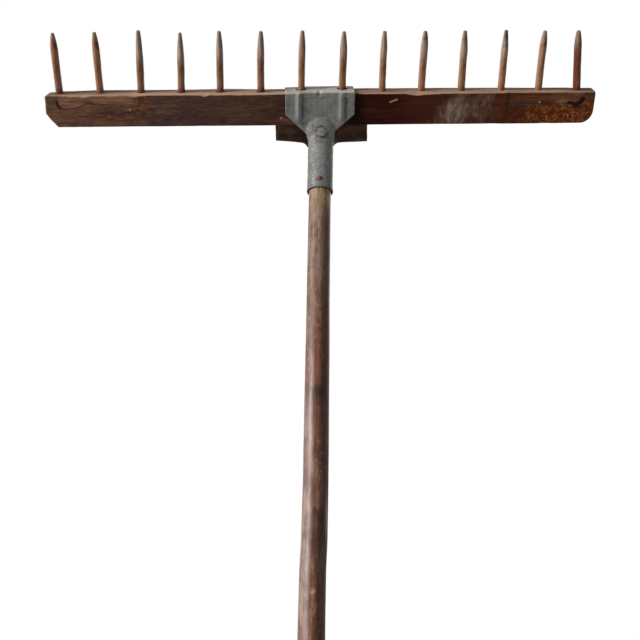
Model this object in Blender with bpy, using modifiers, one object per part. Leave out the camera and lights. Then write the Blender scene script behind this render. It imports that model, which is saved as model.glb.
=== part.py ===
"""Wooden-toothed lawn and hay rake with a pressed steel socket.

Units are metres and +Z is up. The handle stands on its butt at the origin, along +Z. The head
leans forward, towards -Y, and sits a little askew, its right end high. Everything on the head is
modelled in the head's own frame: X along the bar, Y back through it and Z along the teeth, from
the foot of the bar's front face.
"""

import math

import bmesh
import bpy
from mathutils import Matrix

# Driving dimensions
SOCKET_RIM_Z = 1.400
HEAD_LEAN = math.radians(47.0)
HEAD_TILT = math.radians(2.9)
HEAD_AHEAD = 0.0168
HEAD_ABOVE_RIM = 0.0881
GAP = 0.0003

BAR_LEFT = -0.3472
BAR_RIGHT = 0.3527
BAR_BOTTOM = -0.0011
BAR_HEIGHT = 0.0397
BAR_DEPTH = 0.0254
LEFT_CHAMFER = (0.0132, 0.0168)
LEFT_TOP_NICK = 0.0030
LEFT_END_SLOPE = 0.0002
RIGHT_END_SLOPE = 0.0003
RIGHT_CORNER_RADIUS = 0.0160

TOOTH_COUNT = 14
TOOTH_PITCH = 0.0509
TOOTH_RADIUS = 0.0046
TOOTH_STAND_OUT = 0.0740
TOOTH_POINT_LENGTH = 0.0260
TOOTH_TIP_RADIUS = 0.0026
TOOTH_TIP_BEVEL = 0.0016
TOOTH_TIP_CROWN = 0.0003
# How far each tooth's hole was drilled to the right of its even spacing.
TOOTH_WANDER = (
    0.0012,
    0.0011,
    0.0013,
    0.0010,
    -0.0009,
    -0.0004,
    0.0001,
    0.0013,
    0.0017,
    0.0013,
    0.0019,
    0.0028,
    0.0008,
    0.0001,
)
# How far each tooth has worked over to the right since it was driven, in degrees.
TOOTH_LEANS = (0.6, 0.3, 2.0, 2.1, 1.2, 1.2, 1.2, 0.8, 0.3, 0.6, -0.7, -0.7, -0.3, -6.2)

SHEET = 0.0019
PLATE_LEFT = -0.0461
PLATE_RIGHT = 0.0418
PLATE_SHOULDER = 0.0132
PLATE_FOOT_LEFT = (-0.0160, -0.0155)
PLATE_FOOT_RIGHT = (0.0140, -0.0115)
FOLD_RADIUS = 0.0026
BACK_LIP_BOTTOM = 0.0240
RIB_CENTRES = (-0.0295, 0.0250)
RIB_RADIUS = 0.0060
RIB_HEIGHT = 0.0028
RIB_SPAN = (0.0060, 0.0395)
NOSE_RADIUS = 0.0172
NOSE_HEIGHT = 0.0055
NOSE_CENTRE_Z = -0.0090
TOOTH_SLOT_RADIUS = 0.0068
# The space behind the plate that the bar's front corner takes out of the nose and the tube.
BAR_ROOM_LOW = (-0.0800, -GAP, -0.0030)
BAR_ROOM_HIGH = (0.0800, 0.0600, 0.0700)

TUBE_RADIUS = 0.0163
TUBE_BORE_RADIUS = 0.0147
TUBE_LENGTH = 0.0860
SEAM_WIDTH = 0.0014
SEAM_SPAN_Y = (0.0080, 0.0300)

BOLT_ABOVE_RIM = 0.0763
BOLT_RADIUS = 0.0040
BOLT_HEAD_RADIUS = 0.0080
BOLT_HEAD_HEIGHT = 0.0046
BOLT_SEAT_Y = -0.0170
BOLT_END_Y = 0.0270
WASHER_RADIUS = 0.0090
WASHER_THICKNESS = 0.0015
NUT_RADIUS = 0.0074
NUT_THICKNESS = 0.0062

PIN_ABOVE_RIM = 0.0120
PIN_OFFSET_X = -0.0010
PIN_RADIUS = 0.0020
PIN_HEAD_RADIUS = 0.0031
PIN_HEAD_HEIGHT = 0.0016
PIN_FOOT_RADIUS = 0.0029
PIN_FOOT_HEIGHT = 0.0013

CLEAT_LEFT = -0.0590
CLEAT_RIGHT = 0.0624
CLEAT_TOP = 0.0200
CLEAT_BOTTOM = -0.0311
CLEAT_CORNER_DROPS = (-0.0020, 0.0005)
CLEAT_SADDLE_BOTTOM = -0.0377
CLEAT_SADDLE_HALF_WIDTH = 0.0182
CLEAT_SADDLE_RADIUS = 0.0100
CLEAT_DEPTH = 0.0180

NAIL_RADIUS = 0.0013
NAIL_HEAD_RADIUS = 0.0031
NAIL_HEAD_HEIGHT = 0.0011
NAIL_BITE = 0.0140
NAIL_POINT_LENGTH = 0.0020
CLEAT_NAIL_X = (-0.0500, 0.0500)
CLEAT_NAIL_Z = 0.0100
LIP_NAIL_X = (-0.0375, 0.0350)
LIP_NAIL_Z = 0.0310

# The handle's radius at heights above its butt.
HANDLE_RADII = (
    (0.004, 0.0148),
    (0.250, 0.0154),
    (0.600, 0.0155),
    (0.900, 0.0150),
    (1.150, 0.0144),
    (1.400, 0.0140),
    (1.480, 0.0137),
)
HANDLE_TOP_Z = 1.4840
HANDLE_TOP_BEVEL = 0.0030
# The butt's rounded corner, as (radius, height), and the flat it stands on.
HANDLE_BUTT_SHOULDER = (0.0130, 0.0008)
HANDLE_BUTT_FACE_RADIUS = 0.0108

# How far a cutter runs on past the shape it cuts.
OVERRUN = 0.0100
CROSS_HOLE_REACH = 0.0500

ROUND = 32
SMALL_ROUND = 20
SHARP_ANGLE = math.radians(35)
MERGE_DISTANCE = 0.00001


def clear_scene():
    for old in list(bpy.data.objects):
        bpy.data.objects.remove(old, do_unlink=True)


def collection(name):
    made = bpy.data.collections.new(name)
    bpy.context.scene.collection.children.link(made)
    return made


clear_scene()
PARTS = collection("wooden_tooth_rake")
CUTTERS = collection("cutters")
TOOTH_HOLES = collection("tooth_hole_cutters")


def material(name, colour, roughness, metallic=0.0):
    made = bpy.data.materials.new(name)
    made.use_nodes = True
    shader = made.node_tree.nodes["Principled BSDF"]
    shader.inputs["Base Color"].default_value = (*colour, 1.0)
    shader.inputs["Roughness"].default_value = roughness
    shader.inputs["Metallic"].default_value = metallic
    return made


BAR_WOOD = material("stained_bar_wood", (0.070, 0.030, 0.020), 0.55)
TOOTH_WOOD = material("tooth_wood", (0.190, 0.095, 0.055), 0.65)
CLEAT_WOOD = material("dark_cleat_wood", (0.045, 0.024, 0.016), 0.60)
HANDLE_WOOD = material("handle_wood", (0.130, 0.060, 0.035), 0.45)
ZINC = material("weathered_zinc_sheet", (0.210, 0.210, 0.205), 0.50, 0.70)
STEEL = material("grey_steel_fastener", (0.180, 0.178, 0.172), 0.45, 0.85)
RUST = material("rusty_pin_steel", (0.150, 0.055, 0.045), 0.60, 0.50)


def head_frame():
    empty = bpy.data.objects.new("head_frame", None)
    empty.location = (0.0, -HEAD_AHEAD, SOCKET_RIM_Z + HEAD_ABOVE_RIM)
    empty.rotation_euler = (HEAD_LEAN, -HEAD_TILT, 0.0)
    PARTS.objects.link(empty)
    return empty


HEAD = head_frame()


def place(name, mesh, finish, parent=None, location=(0, 0, 0), rotation=(0, 0, 0)):
    """Puts a sub-part's mesh in the scene, in its parent's frame."""
    mesh.name = name
    mesh.materials.clear()
    mesh.materials.append(finish)
    made = bpy.data.objects.new(name, mesh)
    made.parent = parent
    made.location = location
    made.rotation_euler = rotation
    PARTS.objects.link(made)
    return made


def cutter(name, mesh, parent=None, location=(0, 0, 0), rotation=(0, 0, 0), into=None):
    """Puts a shape that only cuts or joins another in the cutters' collection."""
    mesh.name = name
    made = bpy.data.objects.new(name, mesh)
    made.parent = parent
    made.location = location
    made.rotation_euler = rotation
    made.hide_render = True
    made.display_type = "WIRE"
    (into or CUTTERS).objects.link(made)
    return made


def combine(target, operation, other):
    step = target.modifiers.new(other.name, "BOOLEAN")
    step.operation = operation
    step.solver = "EXACT"
    step.object = other


def mesh_from(build):
    """A mesh from a function that fills a bmesh."""
    made = bpy.data.meshes.new("mesh")
    bm = bmesh.new()
    build(bm)
    bmesh.ops.recalc_face_normals(bm, faces=bm.faces)
    bm.to_mesh(made)
    bm.free()
    return made


def cylinder(radius, start, end, segments=SMALL_ROUND):
    """A cylinder along +Z from start to end."""

    def build(bm):
        middle = Matrix.Translation((0, 0, (start + end) / 2))
        bmesh.ops.create_cone(
            bm,
            cap_ends=True,
            segments=segments,
            radius1=radius,
            radius2=radius,
            depth=end - start,
            matrix=middle,
        )

    return mesh_from(build)


def block(low, high):
    """A box between two corners."""
    size = [b - a for a, b in zip(low, high)]
    middle = [(a + b) / 2 for a, b in zip(low, high)]

    def build(bm):
        matrix = Matrix.Translation(middle) @ Matrix.Diagonal((*size, 1.0))
        bmesh.ops.create_cube(bm, size=1.0, matrix=matrix)

    return mesh_from(build)


def turned(name, profile, steps=SMALL_ROUND):
    """A round solid about Z. The profile runs from the top of the axis down to its foot."""
    lathe_mesh = bpy.data.meshes.new(name)
    edges = [(i, i + 1) for i in range(len(profile) - 1)]
    lathe_mesh.from_pydata([(r, 0.0, z) for r, z in profile], edges, [])
    lathe = bpy.data.objects.new(name, lathe_mesh)
    bpy.context.scene.collection.objects.link(lathe)
    turn = lathe.modifiers.new("turn", "SCREW")
    turn.axis = "Z"
    turn.steps = steps
    turn.render_steps = steps
    turn.use_merge_vertices = True
    turn.merge_threshold = MERGE_DISTANCE
    turn.use_smooth_shade = True
    depsgraph = bpy.context.evaluated_depsgraph_get()
    solid = bpy.data.meshes.new_from_object(lathe.evaluated_get(depsgraph))
    solid.set_sharp_from_angle(angle=SHARP_ANGLE)
    bpy.data.objects.remove(lathe)
    return solid


XZ_PLANE = Matrix.Rotation(math.pi / 2, 4, "X")
YZ_PLANE = Matrix(((0, 0, 1, 0), (1, 0, 0, 0), (0, 1, 0, 0), (0, 0, 0, 1)))


def extruded(points, thickness, plane, middle):
    """A flat outline in a plane, extruded by half its thickness to each side of middle."""
    outline = bpy.data.curves.new("outline", "CURVE")
    outline.dimensions = "2D"
    outline.fill_mode = "BOTH"
    outline.extrude = thickness / 2
    spline = outline.splines.new("POLY")
    spline.points.add(len(points) - 1)
    for point, (across, up) in zip(spline.points, points):
        point.co = (across, up, 0.0, 1.0)
    spline.use_cyclic_u = True
    temporary = bpy.data.objects.new("outline", outline)
    bpy.context.scene.collection.objects.link(temporary)
    depsgraph = bpy.context.evaluated_depsgraph_get()
    solid = bpy.data.meshes.new_from_object(temporary.evaluated_get(depsgraph))
    bpy.data.objects.remove(temporary)
    bm = bmesh.new()
    bm.from_mesh(solid)
    bmesh.ops.remove_doubles(bm, verts=bm.verts, dist=MERGE_DISTANCE)
    bmesh.ops.transform(bm, matrix=Matrix.Translation(middle) @ plane, verts=bm.verts)
    bmesh.ops.recalc_face_normals(bm, faces=bm.faces)
    bm.to_mesh(solid)
    bm.free()
    return solid


def arc(centre, radius, start, end, steps):
    """Points round a centre from one angle to another, both in degrees."""
    points = []
    for i in range(steps + 1):
        angle = math.radians(start + (end - start) * i / steps)
        across = centre[0] + radius * math.cos(angle)
        points.append((across, centre[1] + radius * math.sin(angle)))
    return points


def tooth_x(index):
    return (index - (TOOTH_COUNT - 1) / 2) * TOOTH_PITCH + TOOTH_WANDER[index]


def tooth_place(index):
    """Where a tooth's axis leaves the top of the bar, and how it leans."""
    location = (tooth_x(index), BAR_DEPTH / 2, BAR_HEIGHT)
    rotation = (0.0, math.radians(TOOTH_LEANS[index]), 0.0)
    return location, rotation


def make_teeth():
    """Fourteen driven pegs: a straight shank through the bar and a blunt whittled point."""
    r = TOOTH_RADIUS
    tip = TOOTH_TIP_RADIUS
    top = TOOTH_STAND_OUT
    taper = top - TOOTH_POINT_LENGTH
    foot = BAR_BOTTOM - BAR_HEIGHT
    profile = [
        (0.0, top),
        (tip * 0.55, top - TOOTH_TIP_CROWN),
        (tip, top - TOOTH_TIP_BEVEL),
        (tip + (r - tip) * 0.62, taper + TOOTH_POINT_LENGTH * 0.45),
        (r, taper),
        (r, foot),
        (0.0, foot),
    ]
    peg = turned("tine", profile, 16)
    for index in range(TOOTH_COUNT):
        location, rotation = tooth_place(index)
        place(f"tine_{index + 1:02d}", peg.copy(), TOOTH_WOOD, HEAD, location, rotation)
        hole = cylinder(r + GAP, -BAR_HEIGHT - OVERRUN, OVERRUN, 16)
        cutter(f"tine_hole_{index + 1:02d}", hole, HEAD, location, rotation, TOOTH_HOLES)


def nail_holes():
    """The nails' own holes, each as (name, x, y of the head's underside, z, length)."""
    cleat_back = BAR_DEPTH + GAP + CLEAT_DEPTH
    lip_back = BAR_DEPTH + GAP + SHEET
    nails = []
    for side, x in zip(("left", "right"), CLEAT_NAIL_X):
        length = CLEAT_DEPTH + NAIL_BITE
        nails.append((f"cleat_nail_{side}", x, cleat_back, CLEAT_NAIL_Z, length))
    for side, x in zip(("left", "right"), LIP_NAIL_X):
        length = SHEET + NAIL_BITE
        nails.append((f"bracket_nail_{side}", x, lip_back, LIP_NAIL_Z, length))
    return nails


FACING_BACK = (-math.pi / 2, 0.0, 0.0)
FACING_FRONT = (math.pi / 2, 0.0, 0.0)


def make_nails():
    """Round-headed wire nails driven from behind. Returns the cutters for their holes."""
    cuts = []
    for name, x, y, z, length in nail_holes():
        profile = [
            (0.0, GAP + NAIL_HEAD_HEIGHT),
            (NAIL_HEAD_RADIUS * 0.7, GAP + NAIL_HEAD_HEIGHT),
            (NAIL_HEAD_RADIUS, GAP + NAIL_HEAD_HEIGHT * 0.5),
            (NAIL_HEAD_RADIUS, GAP),
            (NAIL_RADIUS, GAP),
            (NAIL_RADIUS, -length + NAIL_POINT_LENGTH),
            (0.0, -length),
        ]
        place(name, turned(name, profile, 12), STEEL, HEAD, (x, y, z), FACING_BACK)
        hole = cylinder(NAIL_RADIUS + GAP, -length - GAP, OVERRUN, 12)
        cuts.append(cutter(name + "_hole", hole, HEAD, (x, y, z), FACING_BACK))
    return cuts


def make_bar(nail_cuts):
    """The stained head bar, chamfered at one end and rounded at the other, drilled for pegs."""
    chamfer_across, chamfer_up = LEFT_CHAMFER
    corner = (BAR_RIGHT - RIGHT_CORNER_RADIUS, BAR_BOTTOM + RIGHT_CORNER_RADIUS)
    outline = [
        (BAR_LEFT + chamfer_across, BAR_BOTTOM),
        *arc(corner, RIGHT_CORNER_RADIUS, -90, 0, 6),
        (BAR_RIGHT - RIGHT_END_SLOPE, BAR_HEIGHT),
        (BAR_LEFT + LEFT_END_SLOPE + LEFT_TOP_NICK, BAR_HEIGHT),
        (BAR_LEFT + LEFT_END_SLOPE, BAR_HEIGHT - LEFT_TOP_NICK),
        (BAR_LEFT, chamfer_up),
    ]
    solid = extruded(outline, BAR_DEPTH, XZ_PLANE, (0, BAR_DEPTH / 2, 0))
    bar = place("head_bar", solid, BAR_WOOD, HEAD)
    drill = bar.modifiers.new("tine_holes", "BOOLEAN")
    drill.operation = "DIFFERENCE"
    drill.solver = "EXACT"
    drill.operand_type = "COLLECTION"
    drill.collection = TOOTH_HOLES
    for cut in nail_cuts:
        combine(bar, "DIFFERENCE", cut)


def make_cleat(nail_cuts):
    """The wooden cleat behind the bar, its lower edge carried down to a saddle at the socket."""
    half = CLEAT_SADDLE_HALF_WIDTH
    radius = CLEAT_SADDLE_RADIUS
    drop = CLEAT_BOTTOM - CLEAT_SADDLE_BOTTOM
    sweep = math.degrees(math.acos(1 - drop / radius))
    right_centre = (half + radius * math.sin(math.radians(sweep)), CLEAT_BOTTOM - radius)
    right = arc(right_centre, radius, 90, 90 + sweep, 5)
    left = [(-x, z) for x, z in right]
    outline = [
        (CLEAT_LEFT, CLEAT_BOTTOM - CLEAT_CORNER_DROPS[0]),
        *left,
        *reversed(right),
        (CLEAT_RIGHT, CLEAT_BOTTOM - CLEAT_CORNER_DROPS[1]),
        (CLEAT_RIGHT, CLEAT_TOP),
        (CLEAT_LEFT, CLEAT_TOP),
    ]
    middle = (0, BAR_DEPTH + GAP + CLEAT_DEPTH / 2, 0)
    cleat = place("backing_cleat", extruded(outline, CLEAT_DEPTH, XZ_PLANE, middle), CLEAT_WOOD, HEAD)
    for cut in nail_cuts:
        combine(cleat, "DIFFERENCE", cut)


def sheet_profile():
    """The folded sheet's section in YZ: down the front, over the bar and down the back."""
    front = -GAP - SHEET
    back = BAR_DEPTH + GAP + SHEET
    top = BAR_HEIGHT + GAP + SHEET
    bottom = PLATE_FOOT_LEFT[1]
    r = FOLD_RADIUS
    return [
        (front + SHEET, bottom),
        (front + SHEET, top - SHEET),
        (back - SHEET, top - SHEET),
        (back - SHEET, BACK_LIP_BOTTOM),
        (back, BACK_LIP_BOTTOM),
        *arc((back - r, top - r), r, 0, 90, 4),
        *arc((front + r, top - r), r, 90, 180, 4),
        (front, bottom),
    ]


def folded_sheet():
    """The pressed sheet before it is trimmed to its funnel shape."""
    width = PLATE_RIGHT - PLATE_LEFT
    middle = ((PLATE_RIGHT + PLATE_LEFT) / 2, 0, 0)
    return cutter("folded_sheet", extruded(sheet_profile(), width, YZ_PLANE, middle), HEAD)


def funnel_trim(side):
    """What is cut from one lower corner of the plate, to bring it down to the socket."""
    foot, edge = {
        "left": (PLATE_FOOT_LEFT, PLATE_LEFT),
        "right": (PLATE_FOOT_RIGHT, PLATE_RIGHT),
    }[side]
    outside = edge * 1.5
    below = PLATE_FOOT_LEFT[1] - OVERRUN
    outline = [
        (edge, PLATE_SHOULDER),
        foot,
        (foot[0], below),
        (outside, below),
        (outside, PLATE_SHOULDER),
    ]
    depth = 6 * SHEET
    return cutter(f"funnel_trim_{side}", extruded(outline, depth, XZ_PLANE, (0, 0, 0)), HEAD)


def socket_nose():
    """The rounded end of the socket that rises out of the plate."""

    def build(bm):
        bmesh.ops.create_uvsphere(bm, u_segments=32, v_segments=16, radius=1.0)
        shape = Matrix.Diagonal((NOSE_RADIUS, NOSE_HEIGHT, NOSE_RADIUS, 1.0))
        bmesh.ops.transform(bm, matrix=shape, verts=bm.verts)

    centre = (0.0, -GAP - SHEET, NOSE_CENTRE_Z)
    return cutter("socket_nose", mesh_from(build), HEAD, centre)


def stiffening_rib(number, x):
    low, high = RIB_SPAN
    behind = RIB_RADIUS - RIB_HEIGHT
    centre = (x, -GAP - SHEET + behind, 0.0)
    return cutter(f"rib_{number}", cylinder(RIB_RADIUS, low, high, 24), HEAD, centre)


def make_bracket(nail_cuts):
    """One pressing: socket tube, nose and ribbed plate folded over the bar."""
    tube = cylinder(TUBE_RADIUS, 0.0, TUBE_LENGTH, ROUND)
    rim = (0.0, 0.0, SOCKET_RIM_Z)
    bracket = place("socket_bracket", tube, ZINC, None, rim)
    combine(bracket, "UNION", socket_nose())
    for number, x in enumerate(RIB_CENTRES, start=1):
        combine(bracket, "UNION", stiffening_rib(number, x))
    bar_room = block(BAR_ROOM_LOW, BAR_ROOM_HIGH)
    combine(bracket, "DIFFERENCE", cutter("room_for_bar", bar_room, HEAD))
    sheet = folded_sheet()
    for side in ("left", "right"):
        combine(sheet, "DIFFERENCE", funnel_trim(side))
    combine(bracket, "UNION", sheet)
    bore = cylinder(TUBE_BORE_RADIUS, -OVERRUN, TUBE_LENGTH + OVERRUN, ROUND)
    combine(bracket, "DIFFERENCE", cutter("socket_bore", bore, None, rim))
    seam_low = (-SEAM_WIDTH / 2, SEAM_SPAN_Y[0], -OVERRUN)
    seam_high = (SEAM_WIDTH / 2, SEAM_SPAN_Y[1], TUBE_LENGTH + OVERRUN)
    seam = block(seam_low, seam_high)
    combine(bracket, "DIFFERENCE", cutter("socket_seam", seam, None, rim))
    for index in (6, 7):
        location, rotation = tooth_place(index)
        slot = cylinder(TOOTH_SLOT_RADIUS, -OVERRUN / 2, OVERRUN, 24)
        name = f"tine_slot_{index + 1}"
        combine(bracket, "DIFFERENCE", cutter(name, slot, HEAD, location, rotation))
    for cut in nail_cuts:
        combine(bracket, "DIFFERENCE", cut)
    return bracket


def bolt_at(y):
    return (0.0, y, SOCKET_RIM_Z + BOLT_ABOVE_RIM)


def pin_at(y):
    return (PIN_OFFSET_X, y, SOCKET_RIM_Z + PIN_ABOVE_RIM)


def make_fastener_cuts(bracket, handle):
    """The cross holes for the neck bolt and the rim pin, and the flat the bolt head sits on."""
    reach = CROSS_HOLE_REACH
    bolt_hole = cylinder(BOLT_RADIUS + GAP, -reach, reach, SMALL_ROUND)
    pin_hole = cylinder(PIN_RADIUS + GAP, -reach, reach, 16)
    bolt_cut = cutter("bolt_hole", bolt_hole, None, bolt_at(0.0), FACING_FRONT)
    pin_cut = cutter("pin_hole", pin_hole, None, pin_at(0.0), FACING_FRONT)
    for target in (bracket, handle):
        combine(target, "DIFFERENCE", bolt_cut)
        combine(target, "DIFFERENCE", pin_cut)
    flat = cylinder(BOLT_HEAD_RADIUS + 2 * GAP, 0.0, 2 * OVERRUN, ROUND)
    seat = cutter("bolt_flat", flat, None, bolt_at(BOLT_SEAT_Y), FACING_FRONT)
    combine(bracket, "DIFFERENCE", seat)


def domed_fastener(head_radius, head_height, shank_radius, shank_length):
    """The profile of a domed head on a shank."""
    profile = []
    for i in range(6):
        angle = math.radians(90 * i / 5)
        profile.append((head_radius * math.sin(angle), head_height * math.cos(angle)))
    profile += [(shank_radius, 0.0), (shank_radius, -shank_length)]
    return profile


def bolt_profile(shank_length):
    profile = domed_fastener(BOLT_HEAD_RADIUS, BOLT_HEAD_HEIGHT, BOLT_RADIUS, shank_length)
    return [*profile, (0.0, -shank_length)]


def pin_profile(shank_length):
    """The rim pin, riveted over at its back end."""
    profile = domed_fastener(PIN_HEAD_RADIUS, PIN_HEAD_HEIGHT, PIN_RADIUS, shank_length)
    foot = -shank_length - PIN_FOOT_HEIGHT
    return [*profile, (PIN_FOOT_RADIUS, -shank_length), (PIN_FOOT_RADIUS * 0.7, foot), (0.0, foot)]


def make_fasteners():
    seat = BOLT_SEAT_Y - GAP
    shank = BOLT_END_Y - seat
    bolt = turned("neck_bolt", bolt_profile(shank), 24)
    place("neck_bolt", bolt, STEEL, None, bolt_at(seat), FACING_FRONT)
    washer_front = TUBE_RADIUS + GAP
    washer_back = washer_front + WASHER_THICKNESS
    washer = place(
        "neck_washer",
        cylinder(WASHER_RADIUS, washer_front, washer_back, 24),
        STEEL,
        None,
        bolt_at(0.0),
        FACING_BACK,
    )
    nut_front = washer_back + GAP
    nut = place(
        "neck_nut",
        cylinder(NUT_RADIUS, nut_front, nut_front + NUT_THICKNESS, 6),
        STEEL,
        None,
        bolt_at(0.0),
        FACING_BACK,
    )
    clearance = cylinder(BOLT_RADIUS + GAP, -CROSS_HOLE_REACH, CROSS_HOLE_REACH, SMALL_ROUND)
    hole = cutter("nut_hole", clearance, None, bolt_at(0.0), FACING_BACK)
    combine(washer, "DIFFERENCE", hole)
    combine(nut, "DIFFERENCE", hole)
    outside = TUBE_RADIUS + GAP
    pin = turned("socket_pin", pin_profile(2 * outside), 16)
    place("socket_pin", pin, RUST, None, pin_at(-outside), FACING_FRONT)


def make_handle():
    """The long turned handle, thickest below the middle, with a rounded butt."""
    top_radius = HANDLE_RADII[-1][1]
    profile = [(0.0, HANDLE_TOP_Z), (top_radius - HANDLE_TOP_BEVEL, HANDLE_TOP_Z)]
    profile += [(radius, height) for height, radius in reversed(HANDLE_RADII)]
    profile += [HANDLE_BUTT_SHOULDER, (HANDLE_BUTT_FACE_RADIUS, 0.0), (0.0, 0.0)]
    return place("handle", turned("handle", profile, ROUND), HANDLE_WOOD)


def main():
    make_teeth()
    nail_cuts = make_nails()
    make_bar(nail_cuts)
    make_cleat(nail_cuts[:2])
    bracket = make_bracket(nail_cuts[2:])
    handle = make_handle()
    make_fastener_cuts(bracket, handle)
    make_fasteners()


main()
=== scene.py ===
"""The looks of an old wooden-toothed rake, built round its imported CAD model.

Pieces are shaped in millimetres in a frame of their own, which is the head's for the head and the
row's for the handle and socket, and then placed in the row frame. A shape is a signed distance field,
less than zero inside, whose surface is meshed by skin(); the teeth and the handle are lofted rings.
Each mesh keeps its own-frame coordinates in the attribute "grain", which the materials read.
"""

import itertools
import math

import bpy
import numpy as np
from mathutils import Euler, Matrix, Vector


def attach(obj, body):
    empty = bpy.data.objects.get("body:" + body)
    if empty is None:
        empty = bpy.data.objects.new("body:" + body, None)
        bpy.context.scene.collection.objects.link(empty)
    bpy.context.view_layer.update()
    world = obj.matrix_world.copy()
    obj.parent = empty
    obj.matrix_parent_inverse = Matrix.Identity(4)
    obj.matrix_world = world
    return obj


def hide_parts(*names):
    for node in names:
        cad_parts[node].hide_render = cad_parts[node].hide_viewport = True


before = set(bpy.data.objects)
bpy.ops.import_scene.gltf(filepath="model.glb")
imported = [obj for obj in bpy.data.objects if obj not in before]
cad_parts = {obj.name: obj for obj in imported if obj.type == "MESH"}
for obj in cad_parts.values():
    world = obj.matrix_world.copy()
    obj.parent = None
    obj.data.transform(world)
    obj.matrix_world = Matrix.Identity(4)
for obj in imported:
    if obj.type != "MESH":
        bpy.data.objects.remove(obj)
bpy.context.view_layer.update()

# ---- Driving dimensions, in millimetres, as in the CAD source ----

METRES = 0.001
RIM_Z = 1400.0
HEAD_LEAN = math.radians(47.0)
HEAD_TILT = math.radians(2.9)
HEAD_AT = Vector((0.0, -16.8, RIM_Z + 88.1))
GAP = 0.3

BAR_LEFT = -347.2
BAR_RIGHT = 352.7
BAR_BOTTOM = -1.1
BAR_HEIGHT = 39.7
BAR_DEPTH = 25.4
BAR_STEP = (1.3, 0.96, 0.96)

TOOTH_COUNT = 14
TOOTH_PITCH = 50.9
TOOTH_WANDER = (1.2, 1.1, 1.3, 1.0, -0.9, -0.4, 0.1, 1.3, 1.7, 1.3, 1.9, 2.8, 0.8, 0.1)
TOOTH_LEANS = (0.6, 0.3, 2.0, 2.1, 1.2, 1.2, 1.2, 0.8, 0.3, 0.6, -0.7, -0.7, -0.3, -6.2)
TOOTH_RADIUS = 4.6
TOOTH_STAND_OUT = 74.0

SHEET = 1.9
PLATE_LEFT = -46.1
PLATE_RIGHT = 41.8
PLATE_SHOULDER = 13.2
LIP_BOTTOM = 24.0
RIB_CENTRES = (-29.5, 25.0)
TUBE_RADIUS = 16.3
BORE_RADIUS = 14.7
TUBE_LENGTH = 86.0
BOLT_ABOVE_RIM = 76.3
BOLT_SEAT_Y = -17.0
BOLT_END_Y = 27.0
BOLT_HEAD_RADIUS = 6.6
BOLT_RADIUS = 4.0
WASHER_RADIUS = 9.0
WASHER_THICKNESS = 1.5
NUT_RADIUS = 7.4
NUT_HALF_HEIGHT = 3.1
PIN_ABOVE_RIM = 12.0
PIN_X = -1.0
PIN_RADIUS = 2.0
PIN_HEAD_RADIUS = 3.1

CLEAT_DEPTH = 18.0
NAIL_BITE = 14.0
NAIL_RADIUS = 1.3
NAIL_HEAD_RADIUS = 3.1
NAIL_POINT = 2.0
CLEAT_NAILS = (-50.0, 50.0)
CLEAT_NAIL_Z = 10.0
LIP_NAILS = (-37.5, 35.0)
LIP_NAIL_Z = 31.0

HANDLE_TOP = 1484.0

ROW_MM = Matrix.Identity(4)
HEAD_MM = Matrix.Translation(HEAD_AT) @ Euler((HEAD_LEAN, -HEAD_TILT, 0.0)).to_matrix().to_4x4()


# ---- Smooth repeatable noise ----


def lattice(cells, seed):
    """A repeatable value from -1 to 1 for each whole-number cell."""
    x, y, z = cells.astype(np.int64).T
    mixed = x * 374761393 + y * 668265263 + z * 1103515245 + seed * 1274126177
    mixed = (mixed ^ (mixed >> 13)) * 1274126177
    mixed = mixed ^ (mixed >> 16)
    return (mixed & 0xFFFF) / 32767.5 - 1.0


def ease(part):
    """Turns a straight run from nothing to one into one with level ends."""
    return part * part * (3.0 - 2.0 * part)


def lumps(points, size, seed):
    """Smooth noise from -1 to 1 with lumps of that size, in mm, along each axis."""
    scaled = points / np.asarray(size, float)
    base = np.floor(scaled)
    part = ease(scaled - base)
    total = np.zeros(len(points))
    for corner in itertools.product((0, 1), repeat=3):
        share = np.ones(len(points))
        for axis, side in enumerate(corner):
            share = share * (part[:, axis] if side else 1.0 - part[:, axis])
        total += share * lattice(base + corner, seed)
    return total


def wobble(values, size, seed):
    """The same noise along a single line."""
    line = np.zeros((len(values), 3))
    line[:, 0] = values
    return lumps(line, size, seed)


# ---- Distance fields: points are an array of rows, and distances are in mm ----


def rise(value, low, high):
    """Nothing at low and one at high, with a smooth step between them."""
    return ease(np.clip((value - low) / (high - low), 0.0, 1.0))


def bell(value, centre, width):
    """One at the centre, fading to nothing at a few widths away."""
    return np.exp(-(((value - centre) / width) ** 2))


def union(a, b, blend):
    """Two shapes joined, with a fillet of about that size where they meet."""
    share = np.clip(0.5 + 0.5 * (b - a) / blend, 0.0, 1.0)
    return b * (1.0 - share) + a * share - blend * share * (1.0 - share)


def cut(a, b, blend):
    """The first shape without the second, with its new edges eased."""
    return -union(-a, b, blend)


def extruded(outline_distance, along, half_length, rounding):
    """A flat outline given a thickness, with its edges rounded."""
    across = outline_distance + rounding
    deep = np.abs(along) - half_length + rounding
    outside = np.hypot(np.maximum(across, 0.0), np.maximum(deep, 0.0))
    return np.minimum(np.maximum(across, deep), 0.0) + outside - rounding


def box(points, low, high):
    low, high = np.asarray(low, float), np.asarray(high, float)
    away = np.abs(points - (low + high) / 2) - (high - low) / 2
    outside = np.linalg.norm(np.maximum(away, 0.0), axis=1)
    return outside + np.minimum(away.max(axis=1), 0.0)


def rod(points, start, end, radius, rounding=0.0):
    """A round rod between two points."""
    start, end = np.asarray(start, float), np.asarray(end, float)
    length = np.linalg.norm(end - start)
    axis = (end - start) / length
    along = (points - start) @ axis
    from_axis = np.linalg.norm(points - start - along[:, None] * axis, axis=1)
    return extruded(from_axis - radius, along - length / 2, length / 2, rounding)


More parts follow.
